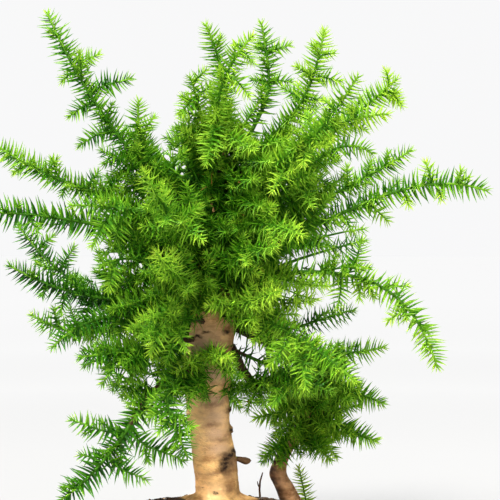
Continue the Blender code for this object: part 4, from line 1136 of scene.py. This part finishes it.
# ----------------------------------------------------------------- needles
class Needles:
    """The needles of all shoots, gathered by piece."""

    def __init__(self):
        self.rows = {}

    def dress(self, shoot, rng):
        """Sets needles in a spiral round a shoot, laid out to its two sides."""
        start = shoot.bare
        if shoot.length - start <= 3:
            return
        s, at = [], shoot.length - 0.3
        while at > start:
            s.append(at)
            at -= shoot.pitch * (0.5 + 0.5 * min(1.0, (shoot.length - at) / 10.0))
        s = np.array(s)
        n = len(s)
        s = s + rng.normal(0, 0.25, n)
        from_tip = shoot.length - s
        p = np.stack([np.interp(s, shoot.at, shoot.line[:, k]) for k in range(3)], axis=1)
        ahead = directions(shoot.line)
        t = np.stack([np.interp(s, shoot.at, ahead[:, k]) for k in range(3)], axis=1)
        t /= np.linalg.norm(t, axis=1)[:, None]
        side = shoot.side[None] - t * (t @ shoot.side)[:, None]
        side /= np.maximum(1e-6, np.linalg.norm(side, axis=1))[:, None]
        up = np.cross(side, t)
        turn = np.arange(n) * math.radians(137.5) + rng.normal(0, 0.16, n)
        out = side * np.cos(turn)[:, None] + up * (shoot.flat * np.sin(turn))[:, None]
        out /= np.linalg.norm(out, axis=1)[:, None]
        grown = smooth(from_tip / 22.0)
        lean = np.radians(28 + 30 * smooth(from_tip / 5.0) + 21 * smooth(from_tip / 20.0)
                          + rng.normal(0, 6.0, n))
        d = t * np.cos(lean)[:, None] + out * np.sin(lean)[:, None]
        size = {0: 1.0, 1: 0.95, 2: 0.85}[shoot.order]
        length = NEEDLE * shoot.size * size * (0.40 + 0.16 * smooth(from_tip / 6.0) + 0.44 * grown) * rng.uniform(0.86, 1.12, n)
        if shoot.order:
            length *= 0.62 + 0.38 * smooth((s - start) / 9.0)
        width = NEEDLE_W * shoot.size ** 1.5 * (0.62 + 0.38 * grown) * rng.uniform(0.85, 1.1, n)
        row = (p, d, t, length, width, self.shade(shoot, p, from_tip, rng))
        keep = self.clear(shoot, p) & self.clear_of_holes(p, p + d * length[:, None])
        self.rows.setdefault(shoot.group, []).append(tuple(v[keep] for v in row))

    @staticmethod
    def clear_of_holes(base, end):
        """The needles that don't cross one of the small holes seen through the crown."""
        a, b = seen_at(base), seen_at(end)
        run = b - a
        keep = np.ones(len(a), bool)
        for across, down, r in HOLES:
            to = np.array((across, down)) - a
            f = np.clip(np.sum(to * run, axis=1) / np.maximum(1e-6, np.sum(run * run, axis=1)), 0, 1)
            keep &= np.hypot(*(to - run * f[:, None]).T) > r
        return keep

    @staticmethod
    def clear(shoot, p):
        """The needles that don't stand in a gap, nor in front of bare trunk."""
        seen = seen_at(p)
        keep = np.ones(len(p), bool)
        for (x0, y0, x1, y1), front_only in [(g, False) for g in GAPS] + [(g, True) for g in BARE_TRUNK]:
            if shoot.named and not front_only:
                continue
            d = np.hypot((seen[:, 0] - (x0 + x1) / 2) / (x1 - x0), (seen[:, 1] - (y0 + y1) / 2) / (y1 - y0)) * 2
            keep &= ~((d < 1.0) & ((p[:, 1] < -4) | (not front_only)))
        return keep

    @staticmethod
    def shade(shoot, p, from_tip, rng):
        """Which green each needle takes: by its spray and its age, with painted light and shade by its place."""
        n = len(p)
        axis = np.linalg.norm(p[:, :2], axis=1)
        # painted shade: darker in the heart of the crown near the trunk, low down and at the back; painted light (sun):
        # lighter to the right and high up, darker at the far left
        inner = (1 - smooth((axis - 22) / 80.0)) * (1 - 0.85 * smooth((p[:, 2] - 265) / 65.0))
        inner = inner * (0.55 + 0.45 * smooth((p[:, 2] - 165) / 75.0))
        low = smooth((110 - p[:, 2]) / 100) * 0.25
        behind = smooth((p[:, 1] - 5) / 60) * (1 - smooth((axis - 95) / 55))
        sun = (0.28 * np.clip(p[:, 0] / 140, -1, 1) + 0.34 * np.clip((p[:, 2] - 200) / 160, -1, 1)
               - 0.38 * smooth((-15 - p[:, 0]) / 70))
        level = 1.95 + rng.normal(0, 0.34) - 1.5 * inner - low - 0.5 * behind + 0.40 * shoot.lit + sun
        # painted light and shade from SUNLIT, by where each spray stands, for sprays at the front or low down
        heart = shoot.line[len(shoot.line) * 2 // 3]
        if heart[1] < 60 or heart[2] < 110:
            for right, up, reach, more in SUNLIT:
                level = level + more * math.exp(-((heart[0] - right) ** 2 + (heart[2] - up) ** 2) / reach ** 2)
        # paler growing tips, paler still on limbs that take painted light
        young = np.exp(-from_tip / shoot.young)
        level = level + young * (1.7 + 0.7 * shoot.lit) * (1 - 0.4 * inner) + rng.normal(0, 0.56, n)
        k = np.clip(np.round(level), 0, 5).astype(int)
        k[(from_tip < 5) & (level > 5.6)] = 6
        k[(rng.random(n) < 0.006) & (inner > 0.45)] = 7
        return k

    def pieces(self, mats):
        made = {}
        greens = [mats[name] for name, _ in GREENS]
        for group, rows in self.rows.items():
            p, d, t, length, width, shade = (np.concatenate([r[k] for r in rows]) for k in range(6))
            n = len(p)
            wide = t - d * np.sum(t * d, axis=1)[:, None]
            wide /= np.maximum(1e-6, np.linalg.norm(wide, axis=1))[:, None]
            thin = np.cross(d, wide)
            w = (width / 2)[:, None]
            sweep = 0.11 * length[:, None]
            middle = p + d * (length * 0.50)[:, None] + t * sweep * 0.25
            verts = np.zeros((n, 6, 3))
            verts[:, 0] = p + wide * w
            verts[:, 1] = p - wide * w
            verts[:, 2] = p + thin * (w * NEEDLE_T / NEEDLE_W * 2) + d * 0.4
            verts[:, 3] = middle + wide * w * 0.78
            verts[:, 4] = middle - wide * w * 0.78
            verts[:, 5] = p + d * length[:, None] + t * sweep
            base = (np.arange(n) * 6)[:, None, None]
            q = (np.array([[(0, 3, 4, 1)]]) + base).reshape(-1, 4)
            f = (np.array([[(1, 4, 2), (2, 3, 0), (0, 1, 2), (2, 5, 3), (4, 5, 2), (3, 5, 4)]]) + base).reshape(-1, 3)
            tip = np.where(shade < 5, shade + 1, shade)
            slots = np.concatenate([shade, np.stack([shade, shade, shade, tip, tip, tip], axis=1).ravel()])
            made[group] = mesh_piece(group, tree(verts.reshape(-1, 3)), [q, f], greens, slots, smooth_faces=False)
            made[group]["needle_count"] = n
        return made


# -------------------------------------------------------------- the stems
def curve_through(table, zs):
    """Smooth values of a stem's table at heights zs: radius, right, back."""
    rows = np.array(table, float)
    h = rows[:, 0]
    out = []
    for k in (1, 2, 3):
        v = rows[:, k]
        slope = np.gradient(v, h)
        i = np.clip(np.searchsorted(h, zs, side="right") - 1, 0, len(h) - 2)
        span = h[i + 1] - h[i]
        u = (zs - h[i]) / span
        out.append((2 * u ** 3 - 3 * u ** 2 + 1) * v[i] + (u ** 3 - 2 * u ** 2 + u) * span * slope[i]
                   + (-2 * u ** 3 + 3 * u ** 2) * v[i + 1] + (u ** 3 - u ** 2) * span * slope[i + 1])
    return out


def turbulence(points, scale, octaves=3, stretch=(1, 1, 1)):
    """Layered noise at each point, about -1 to 1."""
    s = np.asarray(stretch) / scale
    return np.array([noise.fractal(Vector(p * s), 1.0, 2.0, octaves, noise_basis="PERLIN_ORIGINAL")
                     for p in points])


def stem_piece(name, table, sides, step, roots, knots, relief, mats, scars=()):
    """A stem with its bark in relief, raised or sunk at its scars."""
    top, foot = table[-1][0], table[0][0]
    zs = np.unique(np.concatenate([np.linspace(foot, foot + 12, 9), np.arange(foot + 12, top, step), [top]]))
    r, cx, cy = curve_through(table, zs)
    a = np.arange(sides) * math.tau / sides
    z, ang = np.meshgrid(zs, a, indexing="ij")
    reach = np.repeat(r[:, None], sides, axis=1)
    reach = reach * (1 + 0.03 * np.sin(3 * ang + z * 0.05) + 0.02 * np.sin(5 * ang - z * 0.11))
    for bearing in roots:
        off = (ang - math.radians(bearing) + math.pi) % math.tau - math.pi
        reach += 12 * np.exp(-(off / 0.32) ** 2) * np.exp(-((z - foot) / 3.5) ** 1.5)
    for height, bearing, size in knots:
        off = (ang - math.radians(bearing) + math.pi) % math.tau - math.pi
        reach += size * np.exp(-(off / 0.5) ** 2 - ((z - height) / 9.0) ** 2)
    surface = np.stack([cx[:, None] + reach * np.cos(ang), cy[:, None] + reach * np.sin(ang), z], axis=2)
    flat = surface.reshape(-1, 3)
    bands = turbulence(flat, 9.0, 3, (0.32, 0.32, 2.6)).reshape(z.shape)
    flakes = turbulence(flat + 71, 13.0, 4, (0.8, 0.8, 1.3)).reshape(z.shape)
    lumps = turbulence(flat + 19, 34.0, 2).reshape(z.shape)
    plates = np.round(flakes * 3.2) / 3.2 * 0.6 + flakes * 0.4
    reach = reach + relief * (0.55 * bands + 0.75 * plates + 1.3 * lumps)
    for height, bearing, tall, wide, depth in scars:
        off = (ang - math.radians(bearing) + math.pi) % math.tau - math.pi
        d = np.sqrt((off * np.maximum(r[:, None], 1) / wide) ** 2 + ((z - height) / tall) ** 2) + 0.35 * flakes
        inside = smooth((1.15 - d) / 0.45)
        reach += depth * inside
    points = np.stack([cx[:, None] + reach * np.cos(ang), cy[:, None] + reach * np.sin(ang), z], axis=2)
    rows = len(zs)
    verts = np.concatenate([points.reshape(-1, 3),
                            [[cx[0], cy[0], foot], [cx[-1], cy[-1], top + 0.5]]])
    i = np.arange(sides)
    j = (i + 1) % sides
    low = np.stack([j, i, np.full(sides, rows * sides)], axis=1)
    high = np.stack([(rows - 1) * sides + i, (rows - 1) * sides + j, np.full(sides, rows * sides + 1)], axis=1)
    quads = grid_faces(rows, sides)
    slot = np.zeros(len(quads), int)
    return mesh_piece(name, tree(verts), [quads, np.concatenate([low, high])], mats,
                      np.concatenate([slot, np.zeros(2 * sides, int)]))


def limb_piece(name, points, radii, sides, relief, mats, seed):
    """A bough with bark relief: a tube with a knobbly skin and closed ends."""
    points, _ = resampled(points, 1.2)
    radii = np.interp(np.linspace(0, 1, len(points)), np.linspace(0, 1, len(radii)), radii)
    tube = Tubes()
    tube.add(points, radii, sides, np.zeros(len(points), int))
    ring = tube.verts[0]
    centre = np.repeat(points, sides, axis=0)
    out = ring - centre
    bump = turbulence(ring + seed, 6.0, 3, (1, 1, 1.4))
    tube.verts[0] = centre + out * (1 + relief * bump)[:, None]
    return tube.piece(name, mats)


# ------------------------------------------------------------- pot and soil
def oval(r, a):
    """A point of the pot's oval: a round of radius r, drawn out sideways."""
    pull = POT_STRETCH * np.minimum(1.0, r / 60.0)
    return (r + pull) * np.cos(a), r * np.sin(a)


def pot_profile():
    """Radius and height down the outside, across the foot and up inside."""
    r, h, w, f = POT_R, POT_H, POT_WALL, POT_FLOOR
    key = [(r - w - 7, 24), (r - w - 4.5, 38), (r - w - 1.8, h - 3), (r - w - 0.3, h - 0.4), (r - w + 1.2, h),
           (r - 0.8, h), (r + 0.6, h - 0.7), (r + 1, h - 2), (r + 1, h - 6), (r + 0.4, h - 7.6), (r - 2.4, h - 8.8),
           (r - 3.8, h - 10), (r - 4.5, h - 13), (r - 4.7, 44), (r - 5, 38), (r - 5.9, 31), (r - 7, 24),
           (r - 8.8, 17.5), (r - 11, 12), (r - 13.2, 8.8), (r - 15.4, 6.8), (r - 17.4, 5.6), (r - 18, 4.6),
           (r - 18, 1.2), (r - 18.4, 0.4), (r - 19.2, 0)]
    return np.array(key)


def pot_piece(mats):
    """The pot's shell as one closed mesh, with two blind drain holes below."""
    key = pot_profile()
    outer, _ = resampled(np.c_[key, np.zeros(len(key))], 1.6)
    sides = 176
    a = np.arange(sides) * math.tau / sides
    rings = []
    for r, z, _ in outer:
        x, y = oval(r, a)
        wobble = 0.12 * np.sin(3 * a + z * 0.02) + 0.08 * np.sin(7 * a - z * 0.06)
        keep = 0.0 if z < 0.5 else 1.0
        rings.append(np.stack([x + wobble * keep * np.cos(a), y + wobble * keep * np.sin(a), np.full(sides, z)], axis=1))
    # underside: rings closing on two drain holes is left to a flat floor with sunk rounds
    last = rings[-1]
    for k, shrink in enumerate((0.9, 0.75, 0.6, 0.45, 0.3, 0.15)):
        ring = last * (shrink, shrink, 1)
        rings.append(ring)
    body = np.stack(rings)
    rows = len(body)
    verts = body.reshape(-1, 3)
    for cx in (-DRAIN_X, DRAIN_X):
        d = np.hypot(verts[:, 0] - cx, verts[:, 1])
        sunk = (d < DRAIN_R) & (verts[:, 2] < 0.01)
        verts[sunk, 2] = DRAIN_DEEP
    quads = grid_faces(rows, sides)[:, ::-1]
    i = np.arange(sides)
    j = (i + 1) % sides
    verts = np.concatenate([verts, [[0, 0, 0]]])
    verts = np.concatenate([verts, [[0, 0, key[0][1]]]])
    end = np.stack([(rows - 1) * sides + j, (rows - 1) * sides + i, np.full(sides, rows * sides)], axis=1)
    inner = np.stack([i, j, np.full(sides, rows * sides + 1)], axis=1)
    return mesh_piece("pot_shell", verts / 1000.0, [quads, end, inner], mats)


def clay_material():
    m, nodes, links, shader = new_material("pot_clay")
    coords = nodes.new("ShaderNodeTexCoord").outputs["Object"]
    cloud = noise_node(nodes, links, coords, 14, 4, 0.55, (1, 1, 2.2))
    speck = noise_node(nodes, links, coords, 620, 2, 0.5)
    base = ramp_node(nodes, [(0.32, (0.085, 0.040, 0.024)), (0.52, (0.135, 0.064, 0.038)), (0.72, (0.190, 0.098, 0.060))])
    links.new(cloud.outputs["Fac"], base.inputs["Fac"])
    dots = ramp_node(nodes, [(0.62, (0, 0, 0)), (0.70, (1, 1, 1))])
    links.new(speck.outputs["Fac"], dots.inputs["Fac"])
    colour = mix_colour(nodes, links, dots.outputs["Color"], base.outputs["Color"], (0.30, 0.19, 0.13))
    links.new(colour, shader.inputs["Base Color"])
    rough = ramp_node(nodes, [(0.3, (0.52, 0.52, 0.52)), (0.7, (0.72, 0.72, 0.72))])
    links.new(cloud.outputs["Fac"], rough.inputs["Fac"])
    links.new(rough.outputs["Color"], shader.inputs["Roughness"])
    shader.inputs["Specular IOR Level"].default_value = 0.35
    fine = noise_node(nodes, links, coords, 900, 3, 0.6)
    bump = nodes.new("ShaderNodeBump")
    bump.inputs["Strength"].default_value = 0.25
    bump.inputs["Distance"].default_value = 0.0004
    links.new(fine.outputs["Fac"], bump.inputs["Height"])
    links.new(bump.outputs["Normal"], shader.inputs["Normal"])
    return m


def soil_material(name, dark, light):
    m, nodes, links, shader = new_material(name)
    coords = nodes.new("ShaderNodeTexCoord").outputs["Object"]
    lumps = noise_node(nodes, links, coords, 160, 5, 0.7)
    base = ramp_node(nodes, [(0.36, dark), (0.64, light)])
    links.new(lumps.outputs["Fac"], base.inputs["Fac"])
    links.new(base.outputs["Color"], shader.inputs["Base Color"])
    shader.inputs["Roughness"].default_value = 0.92
    shader.inputs["Specular IOR Level"].default_value = 0.15
    bump = nodes.new("ShaderNodeBump")
    bump.inputs["Strength"].default_value = 0.8
    bump.inputs["Distance"].default_value = 0.001
    links.new(lumps.outputs["Fac"], bump.inputs["Height"])
    links.new(bump.outputs["Normal"], shader.inputs["Normal"])
    return m


def soil_level(x, y):
    level = np.full(np.shape(x), SOIL_EDGE)
    foot = SECOND[0][2:]
    for away, flat, top, fall in ((np.hypot(x / MOUND_LONG, y), MOUND_FLAT, -GAP, MOUND_FALL),
                                  (np.hypot(x - foot[0], y - foot[1]), 20.0, STEM_CUT, 26.0)):
        past = np.maximum(0.0, away - flat)
        level = np.maximum(level, SOIL_EDGE + (top - SOIL_EDGE) * np.exp(-(past / fall) ** 1.6))
    return level


def soil_pieces(mats, grain_mats):
    """The soil: a lumpy skin with a closed underside, and loose grains on it."""
    r_edge = POT_R - POT_WALL - 3.4
    sides, rings = 200, 60
    a = np.arange(sides) * math.tau / sides
    rows = []
    for k in range(rings):
        f = 1 - (k / rings)
        x, y = oval(r_edge * f, a)
        x = np.where(f < 0.65, (r_edge + POT_STRETCH) * f * np.cos(a), x)
        rows.append(np.stack([(r_edge + POT_STRETCH) * f * np.cos(a), r_edge * f * np.sin(a)], axis=1))
    xy = np.stack(rows).reshape(-1, 2)
    tx, ty = xy[:, 0] - TRUNK_AT[0], xy[:, 1] - TRUNK_AT[1]
    z = soil_level(tx, ty)
    p = np.c_[tx, ty, z]
    lump = turbulence(p + 5, 11.0, 4) * 1.5 + turbulence(p + 55, 3.2, 2) * 0.6
    near_trunk = smooth((np.hypot(tx, ty) - 26) / 22)
    z = z + lump * (0.35 + 0.65 * near_trunk) - 1.3 * near_trunk
    top = np.c_[tx, ty, z]
    skirt_low = np.stack([(r_edge - 6 + POT_STRETCH) * np.cos(a) - TRUNK_AT[0],
                          (r_edge - 6) * np.sin(a) - TRUNK_AT[1], np.full(sides, SOIL_EDGE - 14)], axis=1)
    centre_top = np.array([[-TRUNK_AT[0], -TRUNK_AT[1], soil_level(np.array(-TRUNK_AT[0]), np.array(-TRUNK_AT[1])) + 0.0]])
    centre_low = np.array([[-TRUNK_AT[0], -TRUNK_AT[1], SOIL_EDGE - 14]])
    verts = np.concatenate([skirt_low, top, centre_top, centre_low])
    quads = grid_faces(rings + 1, sides)
    i = np.arange(sides)
    j = (i + 1) % sides
    last = rings * sides
    caps = np.concatenate([np.stack([last + i, last + j, np.full(sides, len(verts) - 2)], axis=1),
                           np.stack([j, i, np.full(sides, len(verts) - 1)], axis=1)])
    skin = mesh_piece("soil_surface", tree(verts), [quads, caps], mats)

    rng = np.random.default_rng(77)
    ico_v, ico_f = icosahedron()
    count = 2600
    vs, fs, slots = [], [], []
    for k in range(count):
        f, ang = math.sqrt(rng.random()) * 0.985, rng.random() * math.tau
        x = (r_edge + POT_STRETCH) * f * math.cos(ang) - TRUNK_AT[0]
        y = r_edge * f * math.sin(ang) - TRUNK_AT[1]
        if math.hypot(x, y) < 36 or math.hypot(x - SECOND[0][2], y - SECOND[0][3]) < 11:
            continue
        size = rng.uniform(0.7, 2.3) * (0.8 if rng.random() < 0.7 else 1.25)
        shape = ico_v * rng.uniform(0.75, 1.15, (12, 1)) * size * (1, rng.uniform(0.6, 1), rng.uniform(0.5, 0.9))
        turn = rng.random() * math.tau
        c, s = math.cos(turn), math.sin(turn)
        shape = shape @ np.array([[c, s, 0], [-s, c, 0], [0, 0, 1]])
        zz = float(soil_level(np.array(x), np.array(y))) - 1.3 * float(smooth((math.hypot(x, y) - 26) / 22))
        vs.append(shape + (x, y, zz + 0.05 * size + rng.uniform(-0.5, 0.2)))
        fs.append(ico_f + 12 * len(fs))
        slots.append(np.full(20, rng.choice(len(grain_mats), p=[0.5, 0.28, 0.14, 0.08])))
    grains = mesh_piece("soil_grains", tree(np.concatenate(vs)), np.concatenate(fs), grain_mats,
                        np.concatenate(slots), smooth_faces=False)
    return skin, grains


def icosahedron():
    g = (1 + 5 ** 0.5) / 2
    v = np.array([(-1, g, 0), (1, g, 0), (-1, -g, 0), (1, -g, 0), (0, -1, g), (0, 1, g),
                  (0, -1, -g), (0, 1, -g), (g, 0, -1), (g, 0, 1), (-g, 0, -1), (-g, 0, 1)], float)
    f = np.array([(0, 11, 5), (0, 5, 1), (0, 1, 7), (0, 7, 10), (0, 10, 11), (1, 5, 9), (5, 11, 4),
                  (11, 10, 2), (10, 7, 6), (7, 1, 8), (3, 9, 4), (3, 4, 2), (3, 2, 6), (3, 6, 8),
                  (3, 8, 9), (4, 9, 5), (2, 4, 11), (6, 2, 10), (8, 6, 7), (9, 8, 1)])
    return v / np.linalg.norm(v[0]), f


# ------------------------------------------------------------------- build
def build():
    mats = make_materials()
    trunk = stem_piece("trunk_bark", TRUNK, 150, 1.5, ROOTS, KNOTS, 0.55, [mats["bark"], mats["bark_scar"]],
                       scars=((34, 303, 5.0, 4.2, -0.9), (41, 326, 2.6, 6.0, 0.5), (82, 353, 2.8, 3.0, 2.0),
                              (64, 353, 3.0, 3.0, 2.2), (9, 260, 2.6, 2.2, -0.5), (152, 232, 1.9, 3.6, 0.9),
                              (152, 257, 1.5, 3.2, 0.6), (152, 314, 1.8, 3.8, 0.8), (128, 12, 4.0, 4.0, 1.0)))
    second = stem_piece("second_stem_bark", SECOND, 56, 1.4, (), ((11, 180, 1.5),), 0.30,
                        [mats["bark_second"], mats["bark_scar"]], scars=())
    left = limb_piece("bough_left_bark", bough_points("bough_left_low", np.linspace(0.18, 1, 20)),
                      BOUGHS["bough_left_low"][3:5], 14, 0.12, [mats["bark_limb"]], 3)
    right = limb_piece("bough_right_bark", bough_points("bough_right_back", np.linspace(0.12, 1, 20)),
                       BOUGHS["bough_right_back"][3:5], 14, 0.12, [mats["bark_limb"]], 9)
    a, b, r0, r1 = DEAD_STUB
    ts = np.array([0, 0.25, 0.5, 0.72, 0.9, 1.0])
    line = np.array(a, float) + np.outer(ts, np.array(b, float) - np.array(a, float))
    line[:, 2] += 1.2 * np.sin(5 * ts)
    stub = limb_piece("dead_stub_bark", line, [r0 * 1.6, r0 * 1.1, r0 * 0.86, r0 * 0.86, r1 * 0.92, r1 * 1.1, r1 * 0.75], 16, 0.30,
                      [mats["bark_stub"]], 15)
    for piece, node, slot in ((trunk, "trunk", "bark"), (second, "second_stem", "dark_bark"),
                              (left, "bough_left_low", "bark"), (right, "bough_right_back", "bark"),
                              (stub, "dead_stub", "dead_wood")):
        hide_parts(node)
        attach(piece, "root")

    shoots = grow()
    needles = Needles()
    twigs = {"twigs_front": Tubes(), "twigs_back": Tubes()}
    for number, shoot in enumerate(shoots):
        rng = np.random.default_rng(9000 + number)
        needles.dress(shoot, rng)
        n = len(shoot.line)
        f = np.linspace(0, 1, n)
        if shoot.order == 0:
            radii = 1.9 * shoot.thick * (1 - f) ** 1.3 * 0.62 + 0.9
            slots = np.where(f < 0.22, 0, np.where(f > 0.85, 2, 1))
        else:
            radii = 0.65 + 0.42 * shoot.thick * (1 - f)
            slots = np.where(f > 0.7, 2, 1)
        part = "twigs_back" if shoot.group in ("needles_back_low", "needles_back_high") else "twigs_front"
        twigs[part].add(shoot.line, radii, 6 if shoot.order == 0 else 5, slots)
    made = needles.pieces(mats)
    for group, masses in GROUPS.items():
        missing = [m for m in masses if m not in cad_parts]
        extra = [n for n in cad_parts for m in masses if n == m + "_end"]
        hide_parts(*[m for m in masses if m not in missing], *extra)
        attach(made[group], "root")
        print(group, made[group]["needle_count"], "needles", missing)
    for part, tubes in twigs.items():
        twig_piece = tubes.piece(part, [mats["bark_limb"], mats["twig_green"], mats["twig_fresh"]])
        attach(twig_piece, "root")

    stick = Tubes()
    stick.add(np.array([(42, 60, -26), (41.5, 60, -14), (40.4, 60, 0), (41.0, 60, 8), (43.4, 60, 16)], float),
              [1.3, 1.1, 1.0, 0.9, 0.6], 8, [0] * 5)
    stick.add(np.array([(40.4, 60, 2), (39.0, 59, 5), (38.4, 58, 8)], float), [0.7, 0.6, 0.4], 6, [0] * 3)
    stick_piece = stick.piece("dead_twig", [mats["bark_scar"]])
    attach(stick_piece, "root")

    pot = pot_piece([clay_material()])
    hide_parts("pot")
    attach(pot, "root")
    skin, grains = soil_pieces([soil_material("soil_dark", (0.030, 0.017, 0.010), (0.105, 0.062, 0.036))],
                               [soil_material("grain_brown", (0.070, 0.040, 0.022), (0.150, 0.088, 0.050)),
                                soil_material("grain_dark", (0.025, 0.016, 0.010), (0.060, 0.036, 0.022)),
                                soil_material("grain_tan", (0.200, 0.130, 0.075), (0.330, 0.225, 0.130)),
                                soil_material("grain_grey", (0.160, 0.150, 0.135), (0.300, 0.285, 0.260))])
    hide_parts("soil")
    for piece in (skin, grains):
        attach(piece, "root")
    print("needles", sum(o["needle_count"] for o in made.values()), "shoots", len(shoots))


def stage():
    mesh = bpy.data.meshes.new("floor")
    n, r = 96, 70.0
    ring = [(r * math.cos(math.tau * k / n), r * math.sin(math.tau * k / n), -0.0004) for k in range(n)]
    mesh.from_pydata(ring, [], [list(range(n))])
    floor = bpy.data.objects.new("floor", mesh)
    scene.collection.objects.link(floor)
    m, nodes, links, shader = new_material("floor_white")
    shader.inputs["Base Color"].default_value = (0.30, 0.30, 0.303, 1)
    shader.inputs["Roughness"].default_value = 0.9
    shader.inputs["Specular IOR Level"].default_value = 0.1
    shader.inputs["Emission Color"].default_value = (1, 1, 1, 1)
    coords = nodes.new("ShaderNodeTexCoord").outputs["Object"]
    away = nodes.new("ShaderNodeVectorMath")
    away.operation = "LENGTH"
    links.new(coords, away.inputs[0])
    far = nodes.new("ShaderNodeMapRange")
    for socket, value in (("From Min", 0.0), ("From Max", 8.0), ("To Min", 0.0), ("To Max", 1.0)):
        far.inputs[socket].default_value = value
    links.new(away.outputs["Value"], far.inputs["Value"])
    glow = ramp_node(nodes, [(at / 8.0, (g, g, g)) for at, g in
                             ((0.5, 0.29), (1.0, 0.43), (2.1, 0.69), (3.5, 0.81), (5.5, 0.845), (8.0, 0.86))])
    links.new(far.outputs["Result"], glow.inputs["Fac"])
    links.new(glow.outputs["Color"], shader.inputs["Emission Strength"])
    mesh.materials.append(m)

    world = bpy.data.worlds.new("studio")
    scene.world = world
    world.use_nodes = True
    nodes, links = world.node_tree.nodes, world.node_tree.links
    nodes.clear()
    out = nodes.new("ShaderNodeOutputWorld")
    light = nodes.new("ShaderNodeBackground")
    light.inputs["Color"].default_value = (1.0, 1.0, 1.0, 1)
    light.inputs["Strength"].default_value = 0.26
    seen = nodes.new("ShaderNodeBackground")
    seen.inputs["Color"].default_value = (0.94, 0.94, 0.945, 1)
    seen.inputs["Strength"].default_value = 1.0
    pick = nodes.new("ShaderNodeMixShader")
    path = nodes.new("ShaderNodeLightPath")
    links.new(path.outputs["Is Camera Ray"], pick.inputs["Fac"])
    links.new(light.outputs[0], pick.inputs[1])
    links.new(seen.outputs[0], pick.inputs[2])
    links.new(pick.outputs[0], out.inputs["Surface"])

    def area(name, at, towards, size, power, colour, spread=180):
        data = bpy.data.lights.new(name, "AREA")
        data.shape, data.size, data.energy, data.color = "DISK", size, power, colour
        data.spread = math.radians(spread)
        lamp = bpy.data.objects.new(name, data)
        lamp.location = at
        lamp.rotation_mode = "QUATERNION"
        lamp.rotation_quaternion = (Vector(towards) - Vector(at)).to_track_quat("-Z", "Y")
        scene.collection.objects.link(lamp)

    area("key", (-0.55, -1.6, 1.9), (0, 0, 0.3), 0.5, 80, (1.0, 0.985, 0.93))
    area("side", (-1.7, -1.2, 0.30), (-0.02, -0.02, 0.14), 0.35, 0.27, (1.0, 0.97, 0.90), 8)
    area("fill", (1.7, -1.5, 0.9), (0, 0, 0.3), 1.1, 3, (0.96, 0.98, 1.0))
    area("low", (0.45, -1.6, 0.22), (0.06, 0, 0.2), 0.7, 6, (1.0, 0.99, 0.96))
    area("top", (0.2, 0.25, 2.1), (0, 0, 0.3), 0.8, 62, (1.0, 1.0, 0.98))

    camera = bpy.data.cameras.new("camera")
    camera.lens, camera.sensor_width = 112.0, 36.0
    camera.clip_start, camera.clip_end = 0.05, 200.0
    cam = bpy.data.objects.new("camera", camera)
    cam.location = (0.0115, -1.420, 0.309)
    cam.rotation_euler = (math.radians(90), 0, 0)
    scene.collection.objects.link(cam)
    scene.camera = cam
    scene.view_settings.view_transform = "Standard"


build()
stage()
